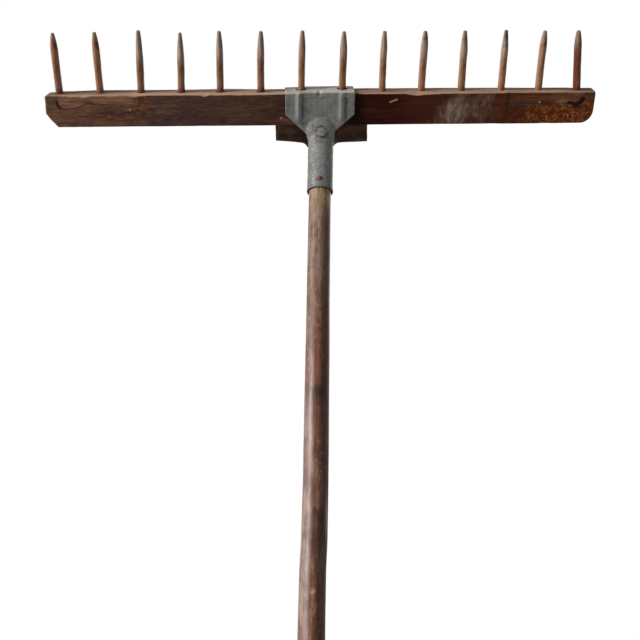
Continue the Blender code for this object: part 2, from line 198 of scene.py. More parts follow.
def ellipsoid(points, centre, radii):
    radii = np.asarray(radii, float)
    offset = points - np.asarray(centre, float)
    near = np.linalg.norm(offset / radii, axis=1)
    steep = np.linalg.norm(offset / radii**2, axis=1)
    return near * (near - 1.0) / np.maximum(steep, 1e-9)


def polygon(x, z, corners):
    """Distance to a closed outline, less than zero inside it."""
    nearest = np.full(len(x), np.inf)
    inside = np.zeros(len(x), bool)
    for (ax, az), (bx, bz) in zip(corners, corners[1:] + corners[:1]):
        nearest = np.minimum(nearest, line_distance(x, z, [(ax, az), (bx, bz)]))
        if az != bz:
            crosses = (az > z) != (bz > z)
            inside ^= crosses & (x < (bx - ax) * (z - az) / (bz - az) + ax)
    return np.where(inside, -nearest, nearest)


def line_distance(x, z, points):
    """Distance in the XZ plane to a line through several points."""
    nearest = np.full(len(x), np.inf)
    for (ax, az), (bx, bz) in zip(points, points[1:]):
        run, rise = bx - ax, bz - az
        share = ((x - ax) * run + (z - az) * rise) / (run * run + rise * rise)
        share = np.clip(share, 0.0, 1.0)
        nearest = np.minimum(nearest, np.hypot(x - ax - share * run, z - az - share * rise))
    return nearest


def arc(centre, radius, start, end, steps):
    """Points round a centre from one angle to another, in degrees."""
    angles = np.radians(np.linspace(start, end, steps + 1))
    return [(centre[0] + radius * math.cos(a), centre[1] + radius * math.sin(a)) for a in angles]


# ---- Meshes from fields and rings ----

BLOCK = 16


def sample(field, low, step, counts):
    """The field at every grid point, worked out in full only in blocks near its surface."""
    values = np.empty(counts, np.float32)
    reach = BLOCK * float(np.linalg.norm(step)) * 0.65 + 3.0
    starts = list(itertools.product(*(range(0, count, BLOCK) for count in counts)))
    middles = low + (np.array(starts, float) + BLOCK / 2) * step
    rough = field(middles)
    for start, distance in zip(starts, rough):
        spans = [range(s, min(s + BLOCK, count)) for s, count in zip(start, counts)]
        place = tuple(slice(span.start, span.stop) for span in spans)
        if abs(distance) > reach:
            values[place] = distance
            continue
        grid = np.stack(np.meshgrid(*spans, indexing="ij"), axis=-1)
        values[place] = field(low + grid.reshape(-1, 3) * step).reshape(grid.shape[:3])
    return values


CORNERS = list(itertools.product((0, 1), repeat=3))
EDGES = [(a, b) for a in CORNERS for b in CORNERS if a < b and sum(np.abs(np.subtract(a, b))) == 1]


def corner_of(values, corner):
    """The values at one corner of every grid cell."""
    return values[tuple(slice(c, n - 1 + c) for c, n in zip(corner, values.shape))]


def cell_points(values, cells):
    """One point for each cell that the surface crosses, amid its crossings of the cell's edges."""
    total = np.zeros((len(cells), 3))
    count = np.zeros(len(cells))
    for a, b in EDGES:
        va = values[tuple((cells + a).T)].astype(float)
        vb = values[tuple((cells + b).T)].astype(float)
        crosses = (va < 0) != (vb < 0)
        share = np.where(crosses, va / np.where(crosses, va - vb, 1.0), 0.0)
        total += np.where(crosses[:, None], a + share[:, None] * np.subtract(b, a), 0.0)
        count += crosses
    return cells + total / count[:, None]


def cell_quads(values, index):
    """A quad round each grid edge that the surface crosses."""
    inside = values < 0
    quads = []
    for axis in range(3):
        u, v = (axis + 1) % 3, (axis + 2) % 3
        ahead = np.roll(inside, -1, axis)
        crosses = inside != ahead
        for side in (axis, u, v):
            edge = [slice(None)] * 3
            edge[side] = slice(-1, None)
            crosses[tuple(edge)] = False
            if side != axis:
                edge[side] = slice(0, 1)
                crosses[tuple(edge)] = False
        here = np.argwhere(crosses)
        back_u, back_v = np.zeros(3, int), np.zeros(3, int)
        back_u[u], back_v[v] = 1, 1
        ring = [here - back_u - back_v, here - back_v, here, here - back_u]
        found = np.stack([index[tuple(cell.T)] for cell in ring], axis=1)
        outward = inside[tuple(here.T)]
        quads.append(np.where(outward[:, None], found, found[:, ::-1]))
    return np.vstack(quads)


def settle(points, field, step, rounds=2):
    """Moves points onto the field's surface."""
    probe = 0.08
    for _ in range(rounds):
        slope = np.empty_like(points)
        for axis in range(3):
            offset = np.zeros(3)
            offset[axis] = probe
            slope[:, axis] = (field(points + offset) - field(points - offset)) / (2 * probe)
        steep = np.maximum((slope**2).sum(axis=1), 0.2)
        move = slope * (field(points) / steep)[:, None]
        size = np.linalg.norm(move, axis=1)
        limit = 0.45 * float(min(step))
        points = points - move * np.minimum(1.0, limit / np.maximum(size, 1e-9))[:, None]
    return points


def skin(field, low, high, step):
    """The surface of a field inside a box, as points and quads."""
    low = np.asarray(low, float)
    step = np.broadcast_to(np.asarray(step, float), 3)
    counts = tuple(int(n) for n in np.ceil((np.asarray(high, float) - low) / step))
    values = sample(field, low, step, counts)
    inside = values < 0
    any_in = np.zeros(tuple(n - 1 for n in counts), bool)
    all_in = np.ones_like(any_in)
    for corner in CORNERS:
        part = corner_of(inside, corner)
        any_in |= part
        all_in &= part
    cells = np.argwhere(any_in & ~all_in)
    index = np.full(counts, -1, np.int32)
    index[tuple(cells.T)] = np.arange(len(cells))
    points = low + cell_points(values, cells) * step
    return settle(points, field, step), cell_quads(values, index).tolist()


def loft(rings):
    """A closed surface through rings of points, with its ends drawn to their middles."""
    rings = np.asarray(rings, float)
    count, around = rings.shape[:2]
    points = np.vstack([rings.reshape(-1, 3), rings[0].mean(axis=0), rings[-1].mean(axis=0)])
    here = np.arange(around)
    after = (here + 1) % around
    faces = []
    for ring in range(count - 1):
        a, b = ring * around, (ring + 1) * around
        faces += np.stack([a + here, a + after, b + after, b + here], axis=1).tolist()
    first, last, top = count * around, count * around + 1, (count - 1) * around
    faces += [[first, int(j), int(i)] for i, j in zip(here, after)]
    faces += [[last, int(top + i), int(top + j)] for i, j in zip(here, after)]
    return points, faces


def vertex_normals(mesh):
    flat = np.empty(len(mesh.vertices) * 3)
    mesh.vertices.foreach_get("normal", flat)
    return flat.reshape(-1, 3)


def keep_mask(mesh, name, values):
    attribute = mesh.attributes.new(name, "FLOAT", "POINT")
    attribute.data.foreach_set("value", np.ascontiguousarray(values, np.float32))


def make_piece(name, shape, place, material, slot, node, masks=None):
    """Places a mesh in the row frame as the piece that stands for a CAD node.

    masks is a function of own-frame points and normals that gives {attribute name: values}.
    """
    points, faces = shape
    mesh = bpy.data.meshes.new(name)
    mesh.from_pydata(points.tolist(), [], faces)
    mesh.update()
    grain = mesh.attributes.new("grain", "FLOAT_VECTOR", "POINT")
    grain.data.foreach_set("vector", np.ascontiguousarray(points, np.float32).ravel())
    if masks:
        for key, values in masks(points, vertex_normals(mesh)).items():
            keep_mask(mesh, key, values)
    mesh.transform(Matrix.Scale(METRES, 4) @ place)
    mesh.shade_smooth()
    mesh.materials.append(material)
    piece = bpy.data.objects.new(name, mesh)
    bpy.context.scene.collection.objects.link(piece)
    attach(piece, "root")
    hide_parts(node)


# ---- Materials ----


def shader_colour(colour):
    """A colour as (red, green, blue) from 0 to 255, as a screen shows it, for a shader to use."""
    parts = [part / 255.0 for part in colour]
    parts = [p / 12.92 if p <= 0.04045 else ((p + 0.055) / 1.055) ** 2.4 for p in parts]
    return (*parts, 1.0)


class Finish:
    """A material's node tree, built up in coats over one Principled shader.

    A value below is a number, a node's output or the name of a mask, and a colour is an output or
    a tuple for shader_colour. Sizes are in mm, along each axis of the piece's own frame.
    """

    def __init__(self, name, roughness=0.6, specular=0.3, metallic=0.0):
        self.material = bpy.data.materials.new(name)
        self.material.use_nodes = True
        self.tree = self.material.node_tree
        self.shader = self.tree.nodes["Principled BSDF"]
        self.shader.inputs["Roughness"].default_value = roughness
        self.shader.inputs["Specular IOR Level"].default_value = specular
        self.shader.inputs["Metallic"].default_value = metallic
        self.grain = self.node("ShaderNodeAttribute", attribute_name="grain").outputs["Vector"]
        self.colour = None

    def node(self, kind, links=None, **settings):
        """A new node with its settings, and its inputs as values or as other nodes' outputs."""
        made = self.tree.nodes.new(kind)
        for key, value in settings.items():
            setattr(made, key, value)
        for key, value in (links or {}).items():
            if isinstance(value, str):
                value = self.node("ShaderNodeAttribute", attribute_name=value).outputs["Fac"]
            if isinstance(value, bpy.types.NodeSocket):
                self.tree.links.new(value, made.inputs[key])
            else:
                made.inputs[key].default_value = value
        return made

    def along(self, axis):
        """The own-frame coordinate along one axis."""
        return self.node("ShaderNodeSeparateXYZ", {"Vector": self.grain}).outputs[axis]

    def scaled(self, size, seed):
        """Own-frame coordinates divided by a size along each axis and shifted by a seed."""
        parts = {"Vector": self.grain, "Scale": [1.0 / s for s in size], "Location": [seed * 7.3] * 3}
        return self.node("ShaderNodeMapping", parts).outputs[0]

    def noise(self, seed, size, detail=3.0, roughness=0.55):
        """Noise from 0 to 1, with lumps of about that size."""
        links = {"Vector": self.scaled(size, seed), "Scale": 0.5, "Detail": detail, "Roughness": roughness}
        return self.node("ShaderNodeTexNoise", links).outputs[0]

    def flecks(self, seed, size, low, high):
        """Scattered dots, each amid a cell of about that size."""
        links = {"Vector": self.scaled(size, seed), "Scale": 1.0}
        away = self.node("ShaderNodeTexVoronoi", links, feature="F1").outputs["Distance"]
        return self.between(away, low, high)

    def cracked(self, seed, size, jitter):
        """Distance from the edges of crooked cells of about that size."""
        vector = self.scaled(size, seed)
        shift = self.node("ShaderNodeTexNoise", {"Vector": vector, "Scale": 1.7, "Detail": 2.0})
        links = {0: shift.outputs["Color"], 1: [jitter] * 3, 2: vector}
        vector = self.node("ShaderNodeVectorMath", links, operation="MULTIPLY_ADD").outputs[0]
        links = {"Vector": vector, "Scale": 1.0}
        return self.node("ShaderNodeTexVoronoi", links, feature="DISTANCE_TO_EDGE").outputs["Distance"]

    def between(self, value, low, high, top=1.0, bottom=0.0):
        """A smooth step from bottom, where the value is low, to top, where it is high."""
        links = {"Value": value, "From Min": low, "From Max": high, "To Min": bottom, "To Max": top}
        return self.node("ShaderNodeMapRange", links, interpolation_type="SMOOTHSTEP").outputs[0]

    def maths(self, operation, total, *values):
        for value in values:
            total = self.node("ShaderNodeMath", {0: total, 1: value}, operation=operation).outputs[0]
        return total

    def times(self, *values):
        return self.maths("MULTIPLY", *values)

    def plus(self, *values):
        return self.maths("ADD", *values)

    def around(self, noise, spread):
        """Noise spread about zero, instead of about a half."""
        return self.times(self.plus(noise, -0.5), spread)

    def blend(self, below, above, share):
        """One colour laid over another."""
        below, above = (shader_colour(c) if isinstance(c, tuple) else c for c in (below, above))
        return self.node("ShaderNodeMix", {0: share, 6: below, 7: above}, data_type="RGBA").outputs[2]

    def ramp(self, value, *stops):
        """A colour that changes through stops, each (position, red, green, blue)."""
        made = self.node("ShaderNodeValToRGB", {"Fac": value})
        elements = made.color_ramp.elements
        for extra in stops[1:-1]:
            elements.new(extra[0])
        for element, (position, *colour) in zip(elements, stops):
            element.position = position
            element.color = shader_colour(colour)
        return made.outputs[0]

    def coat(self, colour, *shares):
        """Lays a colour over what is there so far, as thick as its shares multiplied."""
        self.colour = self.blend(self.colour, colour, self.times(*shares))

    def finish(self, roughness=None, height=None, depth=0.0):
        """Connects the colour, the roughness and a bump map whose depth is in mm."""
        self.tree.links.new(self.colour, self.shader.inputs["Base Color"])
        if roughness is not None:
            self.tree.links.new(roughness, self.shader.inputs["Roughness"])
        if height is not None:
            links = {"Height": height, "Distance": depth * METRES, "Strength": 1.0}
            bump = self.node("ShaderNodeBump", links)
            self.tree.links.new(bump.outputs[0], self.shader.inputs["Normal"])
        return self.material


# The bar's stain from its left end to its right one: (share of the way, red, green, blue).
BAR_STAIN = (
    (0.00, 112, 80, 62), (0.06, 113, 78, 59), (0.11, 98, 67, 50), (0.20, 86, 60, 51),
    (0.38, 79, 52, 43), (0.50, 66, 32, 24), (0.57, 50, 16, 9), (0.62, 58, 18, 10),
    (0.67, 68, 29, 20), (0.80, 82, 46, 28), (0.86, 88, 46, 24), (1.00, 104, 56, 28),
)


def bar_material():
    """Old dark stain over wood: torn, scuffed, crazed and rubbed in the places that masks say."""
    f = Finish("worn_stained_bar_wood", specular=0.07)
    f.fibre = f.noise(0, (34.0, 1.6, 1.6), 5.0, 0.65)
    f.mottle = f.noise(2, (16.0, 7.0, 7.0), 5.0, 0.6)
    f.fine = f.noise(3, (2.2, 1.5, 1.5))
    f.flick = f.noise(14, (6.5, 1.3, 1.5), 4.0, 0.7)
    f.hatch = f.noise(15, (1.9, 1.9, 1.9), 3.0, 0.7)
    f.net = f.cracked(4, (3.7, 2.8, 2.8), 1.3)
    for lay in (lay_stain, lay_torn_patch, lay_crazed_end, lay_scuffs, lay_dust, lay_marks):
        lay(f)
    roughness = f.between(f.fibre, 0.3, 0.7, 0.72, 0.5)
    cracks = f.times(f.between(f.net, 0.2, 0.0), "crazed", 0.5)
    height = f.plus(f.times(f.fibre, 0.7), f.times(f.fine, 0.35), cracks)
    return f.finish(roughness, height, 0.45)


def lay_stain(f):
    """Stain in streaks, worn through in the left half of the bar and mossy at its left end."""
    x = f.along(0)
    worn = f.between(x, 40.0, 30.0)
    f.colour = f.ramp(f.times(f.plus(x, -BAR_LEFT), 1.0 / (BAR_RIGHT - BAR_LEFT)), *BAR_STAIN)
    paler = f.blend(f.colour, (150, 112, 88), 0.45)
    darker = f.blend(f.colour, (0, 0, 0), 0.55)
    f.coat(paler, f.between(f.fibre, 0.5, 0.68), f.between(x, 40.0, 30.0, 0.7, 0.15))
    f.coat(darker, f.between(f.noise(1, (70.0, 3.2, 3.2), 4.0, 0.6), 0.5, 0.3, 0.75))
    f.coat(paler, f.between(f.mottle, 0.52, 0.7), f.between(x, 40.0, 30.0, 0.4, 0.1))
    f.coat(darker, f.between(f.mottle, 0.48, 0.32, 0.45))
    f.coat(darker, f.between(f.fibre, 0.42, 0.3, 0.6))
    f.coat((66, 48, 52), f.between(f.noise(9, (40.0, 14.0, 14.0)), 0.5, 0.64), worn, 0.5)
    golden = f.between(x, -170.0, -290.0, 0.56, 0.14)
    f.coat((146, 98, 66), f.between(f.flick, 0.52, 0.63), worn, golden)
    f.coat((34, 20, 17), f.between(f.flick, 0.46, 0.34), worn, 0.55)
    mossy = f.times(f.between(x, -322.0, -338.0), f.between(f.along(2), 18.0, 30.0))
    f.coat((78, 70, 56), mossy, f.between(f.mottle, 0.35, 0.6), 0.8)


def lay_torn_patch(f):
    """Paler wood where the front has torn at the left end, and the reddish scar beside it."""
    grain = f.plus(f.times(f.fibre, 0.7), f.times(f.mottle, 0.3))
    torn = f.ramp(grain, (0.36, 92, 60, 44), (0.5, 136, 96, 74), (0.66, 168, 130, 104))
    torn = f.blend(torn, (74, 48, 36), f.between(f.flick, 0.46, 0.34, 0.6))
    torn = f.blend(torn, (188, 152, 124), f.between(f.flick, 0.56, 0.68, 0.5))
    ragged = f.between(f.plus("patch", f.around(f.mottle, 0.7)), 0.35, 0.65)
    f.coat(torn, ragged, f.between("patch", 0.0, 0.2), 0.9)
    scar = f.ramp(f.hatch, (0.42, 62, 40, 30), (0.52, 112, 62, 42), (0.64, 176, 102, 70))
    f.coat(scar, "scar", 0.7)


def lay_crazed_end(f):
    """Varnish crazed into a net of orange and dark brown, with a plain band and dust above it."""
    crazed = f.ramp(f.net, (0.03, 184, 108, 52), (0.1, 106, 50, 21), (0.26, 60, 26, 12))
    worn_net = f.between(f.noise(5, (4.0, 3.0, 3.0), 4.0), 0.44, 0.6, 0.85)
    crazed = f.blend(crazed, (78, 34, 16), worn_net)
    f.coat(f.blend((66, 32, 20), crazed, "dense"), "crazed", 0.9)
    band = f.ramp(f.fibre, (0.35, 58, 30, 15), (0.5, 94, 55, 29), (0.7, 136, 88, 54))
    rosy = f.times(f.between(f.along(0), 290.0, 312.0), f.between(f.mottle, 0.38, 0.6, 0.8, 0.3))
    f.coat(f.blend(band, (138, 92, 72), rosy), "band", 0.85)
    f.coat((128, 116, 94), "dusty", f.between(f.hatch, 0.4, 0.55, 0.8, 0.24))


def lay_scuffs(f):
    """Grey scuffs, left by something dragged across the bar."""
    drag = f.noise(6, (3.2, 3.0, 6.0), 4.0, 0.6)
    cloud = f.noise(10, (15.0, 10.0, 13.0), 5.0, 0.6)
    scuff = f.plus("scuff", f.around(drag, 1.12), f.around(cloud, 1.4))
    chalk = f.ramp(drag, (0.3, 108, 88, 74), (0.5, 134, 114, 100), (0.7, 164, 146, 132))
    f.coat(chalk, f.between(scuff, 0.1, 1.3), f.between("scuff", 0.02, 0.3), 0.85)


def lay_dust(f):
    """Dust and bare wood on the top face, paler there partly as painted light from above, along the rubbed
    edges and in front of some teeth.
    """
    dust = f.noise(7, (26.0, 5.0, 5.0), 4.0)
    bare = f.ramp(dust, (0.3, 132, 104, 90), (0.5, 160, 130, 112), (0.72, 186, 156, 136))
    grimy = f.blend(bare, (96, 74, 60), f.times("grime", 0.8))
    # The top face's pale colour is partly dust and partly painted light from above.
    f.coat(grimy, "top", f.between(f.plus(dust, f.times(f.fine, 0.25)), 0.3, 0.62, 1.0, 0.8))
    rub = f.between(f.plus("edge", f.around(f.fine, 0.9)), 0.35, 0.8)
    f.coat((178, 146, 118), rub, f.between("edge", 0.05, 0.3), 0.7)
    f.coat((216, 172, 132), "collar", 0.85)


def lay_marks(f):
    """The smears, the painted shadow and shade, the cracks, the red scuff and the pale specks."""
    f.coat((76, 63, 57), "smear", f.between(f.plus(f.hatch, f.fibre), 0.85, 1.1, 1.0, 0.55))
    # Painted shadow beside the bracket and painted shade in the gouge and the crack.
    f.coat((20, 8, 6), "shade")
    f.coat((42, 28, 26), f.between("groove", 0.0, 0.75, 0.8))
    f.coat((120, 26, 14), "red", f.between(f.fine, 0.35, 0.6, 0.9, 0.2))
    f.coat((214, 186, 150), "speck")
    flecks = f.flecks(8, (6.0, 3.0, 3.0), 0.13, 0.05)
    f.coat((158, 128, 102), flecks, f.between(f.mottle, 0.5, 0.62, 0.5))


def cleat_material():
    """Dark, dull wood with a rough sawn face and a few paler rubs."""
    f = Finish("dark_rough_cleat_wood", specular=0.18)
    fibre = f.noise(11, (30.0, 1.5, 1.5), 5.0, 0.65)
    mottle = f.noise(12, (12.0, 7.0, 6.0), 4.0)
    saw = f.noise(13, (1.8, 40.0, 40.0), 2.0)
    f.colour = f.ramp(mottle, (0.34, 50, 35, 26), (0.5, 80, 58, 44), (0.66, 116, 88, 66))
    # Painted shade on the cleat's right half, where the socket's shadow falls.
    f.coat((34, 20, 14), f.between(f.along(0), 5.0, 35.0, 0.4))
    f.coat((112, 86, 66), f.between(fibre, 0.56, 0.75, 0.4))
    f.coat((26, 16, 12), f.between(fibre, 0.42, 0.3, 0.6))
    f.coat((128, 104, 84), "edge", f.between(saw, 0.4, 0.6, 0.5, 0.1))
    height = f.plus(f.times(fibre, 0.8), f.times(saw, 0.35))
    return f.finish(f.between(mottle, 0.3, 0.7, 0.85, 0.6), height, 0.5)


def tooth_material():
    """Whittled wood: brown near the bar and weathered grey towards the point."""
    f = Finish("whittled_tooth_wood", specular=0.3)
    up = f.along(2)
    fibre = f.noise(21, (1.3, 1.3, 26.0), 5.0, 0.6)
    mottle = f.noise(22, (4.0, 4.0, 9.0), 5.0, 0.6)
    brown = f.ramp(fibre, (0.3, 88, 53, 35), (0.5, 128, 84, 57), (0.72, 160, 116, 84))
    red = f.ramp(fibre, (0.3, 90, 42, 22), (0.5, 124, 66, 38), (0.72, 148, 86, 54))
    tan = f.ramp(fibre, (0.3, 118, 76, 47), (0.5, 160, 110, 75), (0.72, 194, 146, 108))
    grey = f.ramp(fibre, (0.3, 104, 86, 74), (0.5, 150, 130, 114), (0.72, 180, 162, 146))
    f.colour = f.blend(f.blend(brown, red, "red"), tan, "tan")
    f.coat((84, 40, 20), f.between("red", 0.7, 1.0, 0.3))
    f.coat((70, 42, 32), f.between(mottle, 0.47, 0.34, 0.7))
    f.coat((168, 124, 90), f.between(mottle, 0.54, 0.68, 0.45))
    weathered = f.plus(up, f.around(mottle, 40.0), "weather")
    f.coat(grey, f.between(weathered, 34.0, 60.0, 0.85))
    f.coat((128, 116, 106), f.between(f.plus(up, f.around(mottle, 9.0)), 65.0, 73.0, 0.65))
    f.coat((74, 54, 46), "dark", f.between(mottle, 0.35, 0.55, 0.9, 0.4))
    # Painted light on each tooth's left flank and painted shade on its right flank.
    f.coat((192, 172, 154), "lit", 0.38)
    f.coat((38, 22, 16), "dim", 0.5)
    f.coat((46, 28, 20), f.between(fibre, 0.37, 0.27, 0.7))
    f.coat((44, 28, 20), "nick", 0.85)
    # Painted shade at the root of each tooth, where it goes into the bar.
    root = f.times(f.between(up, 10.0, 0.5), f.between(mottle, 0.36, 0.6, 0.95, 0.3))
    f.coat((92, 46, 30), root, f.between("tan", 0.0, 0.6, 0.4, 1.0))
    height = f.plus(fibre, f.times(mottle, 0.4))
    return f.finish(f.between(up, 30.0, 60.0, 0.75, 0.46), height, 0.3)


def zinc_material():
    """Dull zinc on pressed steel: mottled, with painted shade beside the ribs, under the bolt head, inside
    the tube and at the rim, and painted highlights on the ribs.
    """
    f = Finish("weathered_zinc_sheet", specular=0.35, metallic=0.15)
    cloud = f.noise(31, (9.0, 9.0, 9.0), 4.0)
    spangle = f.noise(32, (1.9, 1.9, 1.9), 4.0, 0.75)
    speck = f.noise(33, (1.1, 1.1, 1.1), 2.0)
    drawn = f.noise(34, (2.6, 6.0, 40.0))
    calm = f.between("plate", 0.0, 1.0, 0.55, 0.8)
    f.colour = f.ramp(cloud, (0.3, 108, 107, 103), (0.5, 126, 126, 124), (0.7, 143, 143, 143))
    f.coat((84, 81, 74), f.between(spangle, 0.51, 0.64, 0.7), calm)
    f.coat((172, 172, 172), f.between(spangle, 0.47, 0.34, 0.55), calm)
    f.coat((156, 154, 150), f.between(drawn, 0.5, 0.66, 0.35), "plate")
    f.coat((112, 98, 78), f.between(cloud, 0.52, 0.7, 0.4))
    # Painted shade at each rib's right foot, under the bolt head and inside the tube.
    f.coat((60, 53, 44), "hollow", f.between(spangle, 0.3, 0.6, 0.8, 0.35))
    # Painted highlight on the lit side of each rib's crest.
    f.coat((162, 160, 156), "ridge", f.between(spangle, 0.35, 0.6, 0.5, 0.1))
    # Paler on the fold's top face: painted light from above, in a dusty colour.
    f.coat((192, 186, 176), "top", f.between(cloud, 0.35, 0.6, 0.9, 0.5))
    # Painted shade along the rim's edge.
    f.coat((54, 42, 33), "rim", 0.75)
    f.coat((112, 70, 58), "rust", f.between(speck, 0.35, 0.6, 0.8, 0.25))
    height = f.plus(f.times(spangle, 0.7), f.times(speck, 0.3), f.times(cloud, 0.8))
    return f.finish(f.between(spangle, 0.3, 0.7, 0.75, 0.55), height, 0.22)


def handle_material():
    """Worn varnish: pale and dry below the socket, darker, redder and glossier further down."""
    f = Finish("worn_varnished_handle", specular=0.34)
    fibre = f.noise(41, (1.5, 1.5, 22.0), 5.0, 0.66)
    cloud = f.noise(42, (14.0, 14.0, 60.0), 4.0)
    blot = f.noise(43, (6.0, 6.0, 15.0), 5.0, 0.65)
    fine = f.noise(44, (0.9, 0.9, 4.0))
    ripple = f.noise(46, (2.4, 2.4, 5.0), 4.0, 0.7)
    ruddy = f.noise(47, (4.5, 4.5, 45.0), 4.0, 0.6)
    up = f.plus(f.along(2), f.around(cloud, 110.0))
    pale = f.ramp(fibre, (0.3, 112, 82, 56), (0.5, 156, 126, 94), (0.7, 184, 158, 126))
    dry = f.ramp(fibre, (0.3, 88, 64, 48), (0.5, 130, 107, 88), (0.72, 162, 138, 116))
    brown = f.ramp(fibre, (0.3, 76, 43, 30), (0.5, 112, 75, 58), (0.72, 142, 104, 86))
    f.colour = f.blend(brown, dry, f.between(up, 1220.0, 1310.0))
    f.coat(pale, f.between(up, 1345.0, 1395.0))
    f.coat((132, 64, 36), f.between(ruddy, 0.5, 0.62), f.between(up, 1340.0, 1200.0, 0.5, 0.15))
    f.coat((88, 48, 34), f.between(blot, 0.5, 0.66, 0.5))
    f.coat((158, 130, 110), f.between(blot, 0.46, 0.34, 0.35))
    f.coat((62, 38, 26), f.between(ripple, 0.46, 0.34, 0.55))
    f.coat((186, 160, 136), f.between(ripple, 0.56, 0.68, 0.35))
    f.coat((48, 30, 23), "smudge", f.between(blot, 0.36, 0.56, 0.8, 0.35))
    # Painted shade on the right flank below the socket.
    shade = f.between(f.plus("side", f.around(blot, 0.5)), 0.1, 0.9)
    f.coat(f.blend(f.colour, (46, 17, 4), 0.54), shade)
    # Painted highlight: a pale band on the left flank, stronger further down, for the varnish's gloss.
    dusty = f.times(f.between(blot, 0.6, 0.44, 0.95, 0.45), f.between(up, 1300.0, 1040.0, 0.72, 0.05))
    f.coat((200, 184, 178), "lit_side", dusty)
    f.coat((50, 30, 23), f.between(fibre, 0.38, 0.28, 0.7))
    flecks = f.flecks(45, (5.0, 5.0, 11.0), 0.1, 0.05)
    f.coat((214, 196, 176), flecks, f.between(cloud, 0.5, 0.6, 0.7))
    f.coat((52, 32, 24), "check", 0.8)
    f.coat((216, 202, 190), "scratch", 0.6)
    f.coat((96, 78, 62), "butt", f.between(blot, 0.3, 0.6, 0.9, 0.5))
    roughness = f.plus(f.between(up, 1390.0, 1150.0, 0.42, 0.6), f.around(blot, 0.3))
    height = f.plus(f.times(fibre, 0.8), f.times(fine, 0.35), f.times(cloud, 0.5))
    return f.finish(roughness, height, 0.3)


def steel_material(name, seed, base, stain, metallic):
    """A dull fastener, stained here and there."""
    f = Finish(name, specular=0.4, metallic=metallic)
    cloud = f.noise(seed, (3.2, 3.2, 3.2), 4.0)
    grit = f.noise(seed + 1, (0.7, 0.7, 0.7))
    f.colour = f.blend(base, stain, f.between(cloud, 0.42, 0.62, 0.85, 0.05))
    f.coat((40, 34, 30), f.between(grit, 0.58, 0.7, 0.5))
    height = f.plus(f.times(cloud, 0.6), f.times(grit, 0.5))
    return f.finish(f.between(grit, 0.3, 0.7, 0.75, 0.5), height, 0.12)


BAR_FINISH = bar_material()
CLEAT_FINISH = cleat_material()
TOOTH_FINISH = tooth_material()
ZINC_FINISH = zinc_material()
HANDLE_FINISH = handle_material()
BOLT_FINISH = steel_material("dull_zinc_bolt", 51, (128, 128, 126), (98, 95, 90), 0.15)
PIN_FINISH = steel_material("rusty_pin_steel", 53, (118, 70, 66), (72, 34, 30), 0.1)
NAIL_FINISH = steel_material("dark_nail_steel", 55, (84, 74, 66), (92, 56, 38), 0.4)

# ---- The head bar ----

# Places on the bar's front face, as (x, z) from the middle of its bottom front edge.
TEAR_EDGE = [
    (-331.4, 31.0), (-330.8, 27.0), (-328.6, 23.9), (-323.0, 22.8),
    (-314.0, 22.8), (-306.0, 24.4), (-298.0, 27.6), (-291.0, 29.2),
    (-280.0, 27.9), (-258.0, 28.7), (-239.6, 28.3),
]
LONG_CRACK = [(236.0, 26.8), (268.0, 25.2), (302.0, 24.8), (320.0, 25.6)]
GOUGE = [(319.0, 26.6), (325.5, 23.6), (331.0, 22.4), (334.2, 26.0), (337.0, 31.0)]
SCRATCH = [(87.2, 28.2), (95.9, 31.6)]
PALE_SPECKS = [(-51.7, 8.7, 0.8), (280.5, 26.6, 0.9), (-242.0, 21.1, 0.8), (319.5, 9.5, 0.6)]
# How much paler the bar is just before a tooth, where it is, as {index: strength}.
COLLARS = {2: 1.0, 8: 0.4, 9: 0.6, 10: 0.6, 11: 1.0, 12: 1.0}
FRONT_CHIPS = [(-148.0, 1.1, 4.0), (-236.0, 1.4, 9.0), (-300.0, 0.9, 14.0), (124.0, 1.3, 15.0)]


def bar_outline():
    radius = 16.0
    corner = (BAR_RIGHT - radius, BAR_BOTTOM + radius)
    return [
        (BAR_LEFT + 13.4, BAR_BOTTOM),
        *arc(corner, radius, -90, 0, 10),
        (BAR_RIGHT, BAR_HEIGHT - 1.6),
        (BAR_RIGHT - 1.0, BAR_HEIGHT),
        (BAR_LEFT + 2.0, BAR_HEIGHT),
        (BAR_LEFT, BAR_HEIGHT - 1.4),
        (BAR_LEFT, 16.6),
        (BAR_LEFT + 5.4, 8.0),
    ]


def into_front_edge(y, z):
    """How deep a point lies behind the bar's top front edge, straight through its corner."""
    return (np.maximum(y, 0.0) + BAR_HEIGHT - z) / math.sqrt(2.0)


def front_share(y):
    """One on the bar's front face, fading to nothing a little way in."""
    return np.clip(1.0 - y / 4.0, 0.0, 1.0)


def tear(x, z):
    """The torn patch at the left end: one inside it, fading out to the right."""
    edge_x, edge_z = zip(*TEAR_EDGE)
    above = z - np.interp(x, edge_x, edge_z, left=60.0)
    return rise(above, -0.3, 0.9) * rise(x, -222.0, -246.0)


def front_edge_wear(x):
    """How deep the bar's top front edge is worn, at each place along it."""
    depth = 0.5 + 0.3 * wobble(x, 46.0, 61) + 0.3 * wobble(x, 13.0, 62) + 0.18 * wobble(x, 4.0, 60)
    depth += 0.3 * rise(x, -190.0, -260.0) * (1.0 + 1.2 * wobble(x, 7.0, 63))
    for centre, deep, width in FRONT_CHIPS:
        depth += deep * bell(x, centre, width)
    return depth


def tooth_x(index):
    return (index - (TOOTH_COUNT - 1) / 2) * TOOTH_PITCH + TOOTH_WANDER[index]


def tooth_place(index):
    """A tooth's own frame in the head's: Z along the tooth, from the top of the bar."""
    foot = Matrix.Translation((tooth_x(index), BAR_DEPTH / 2, BAR_HEIGHT))
    return foot @ Matrix.Rotation(math.radians(TOOTH_LEANS[index]), 4, "Y")


def tooth_line(index, low, high):
    """Two points on a tooth's axis, in the head's frame."""
    place = tooth_place(index)
    return place @ Vector((0, 0, low)), place @ Vector((0, 0, high))


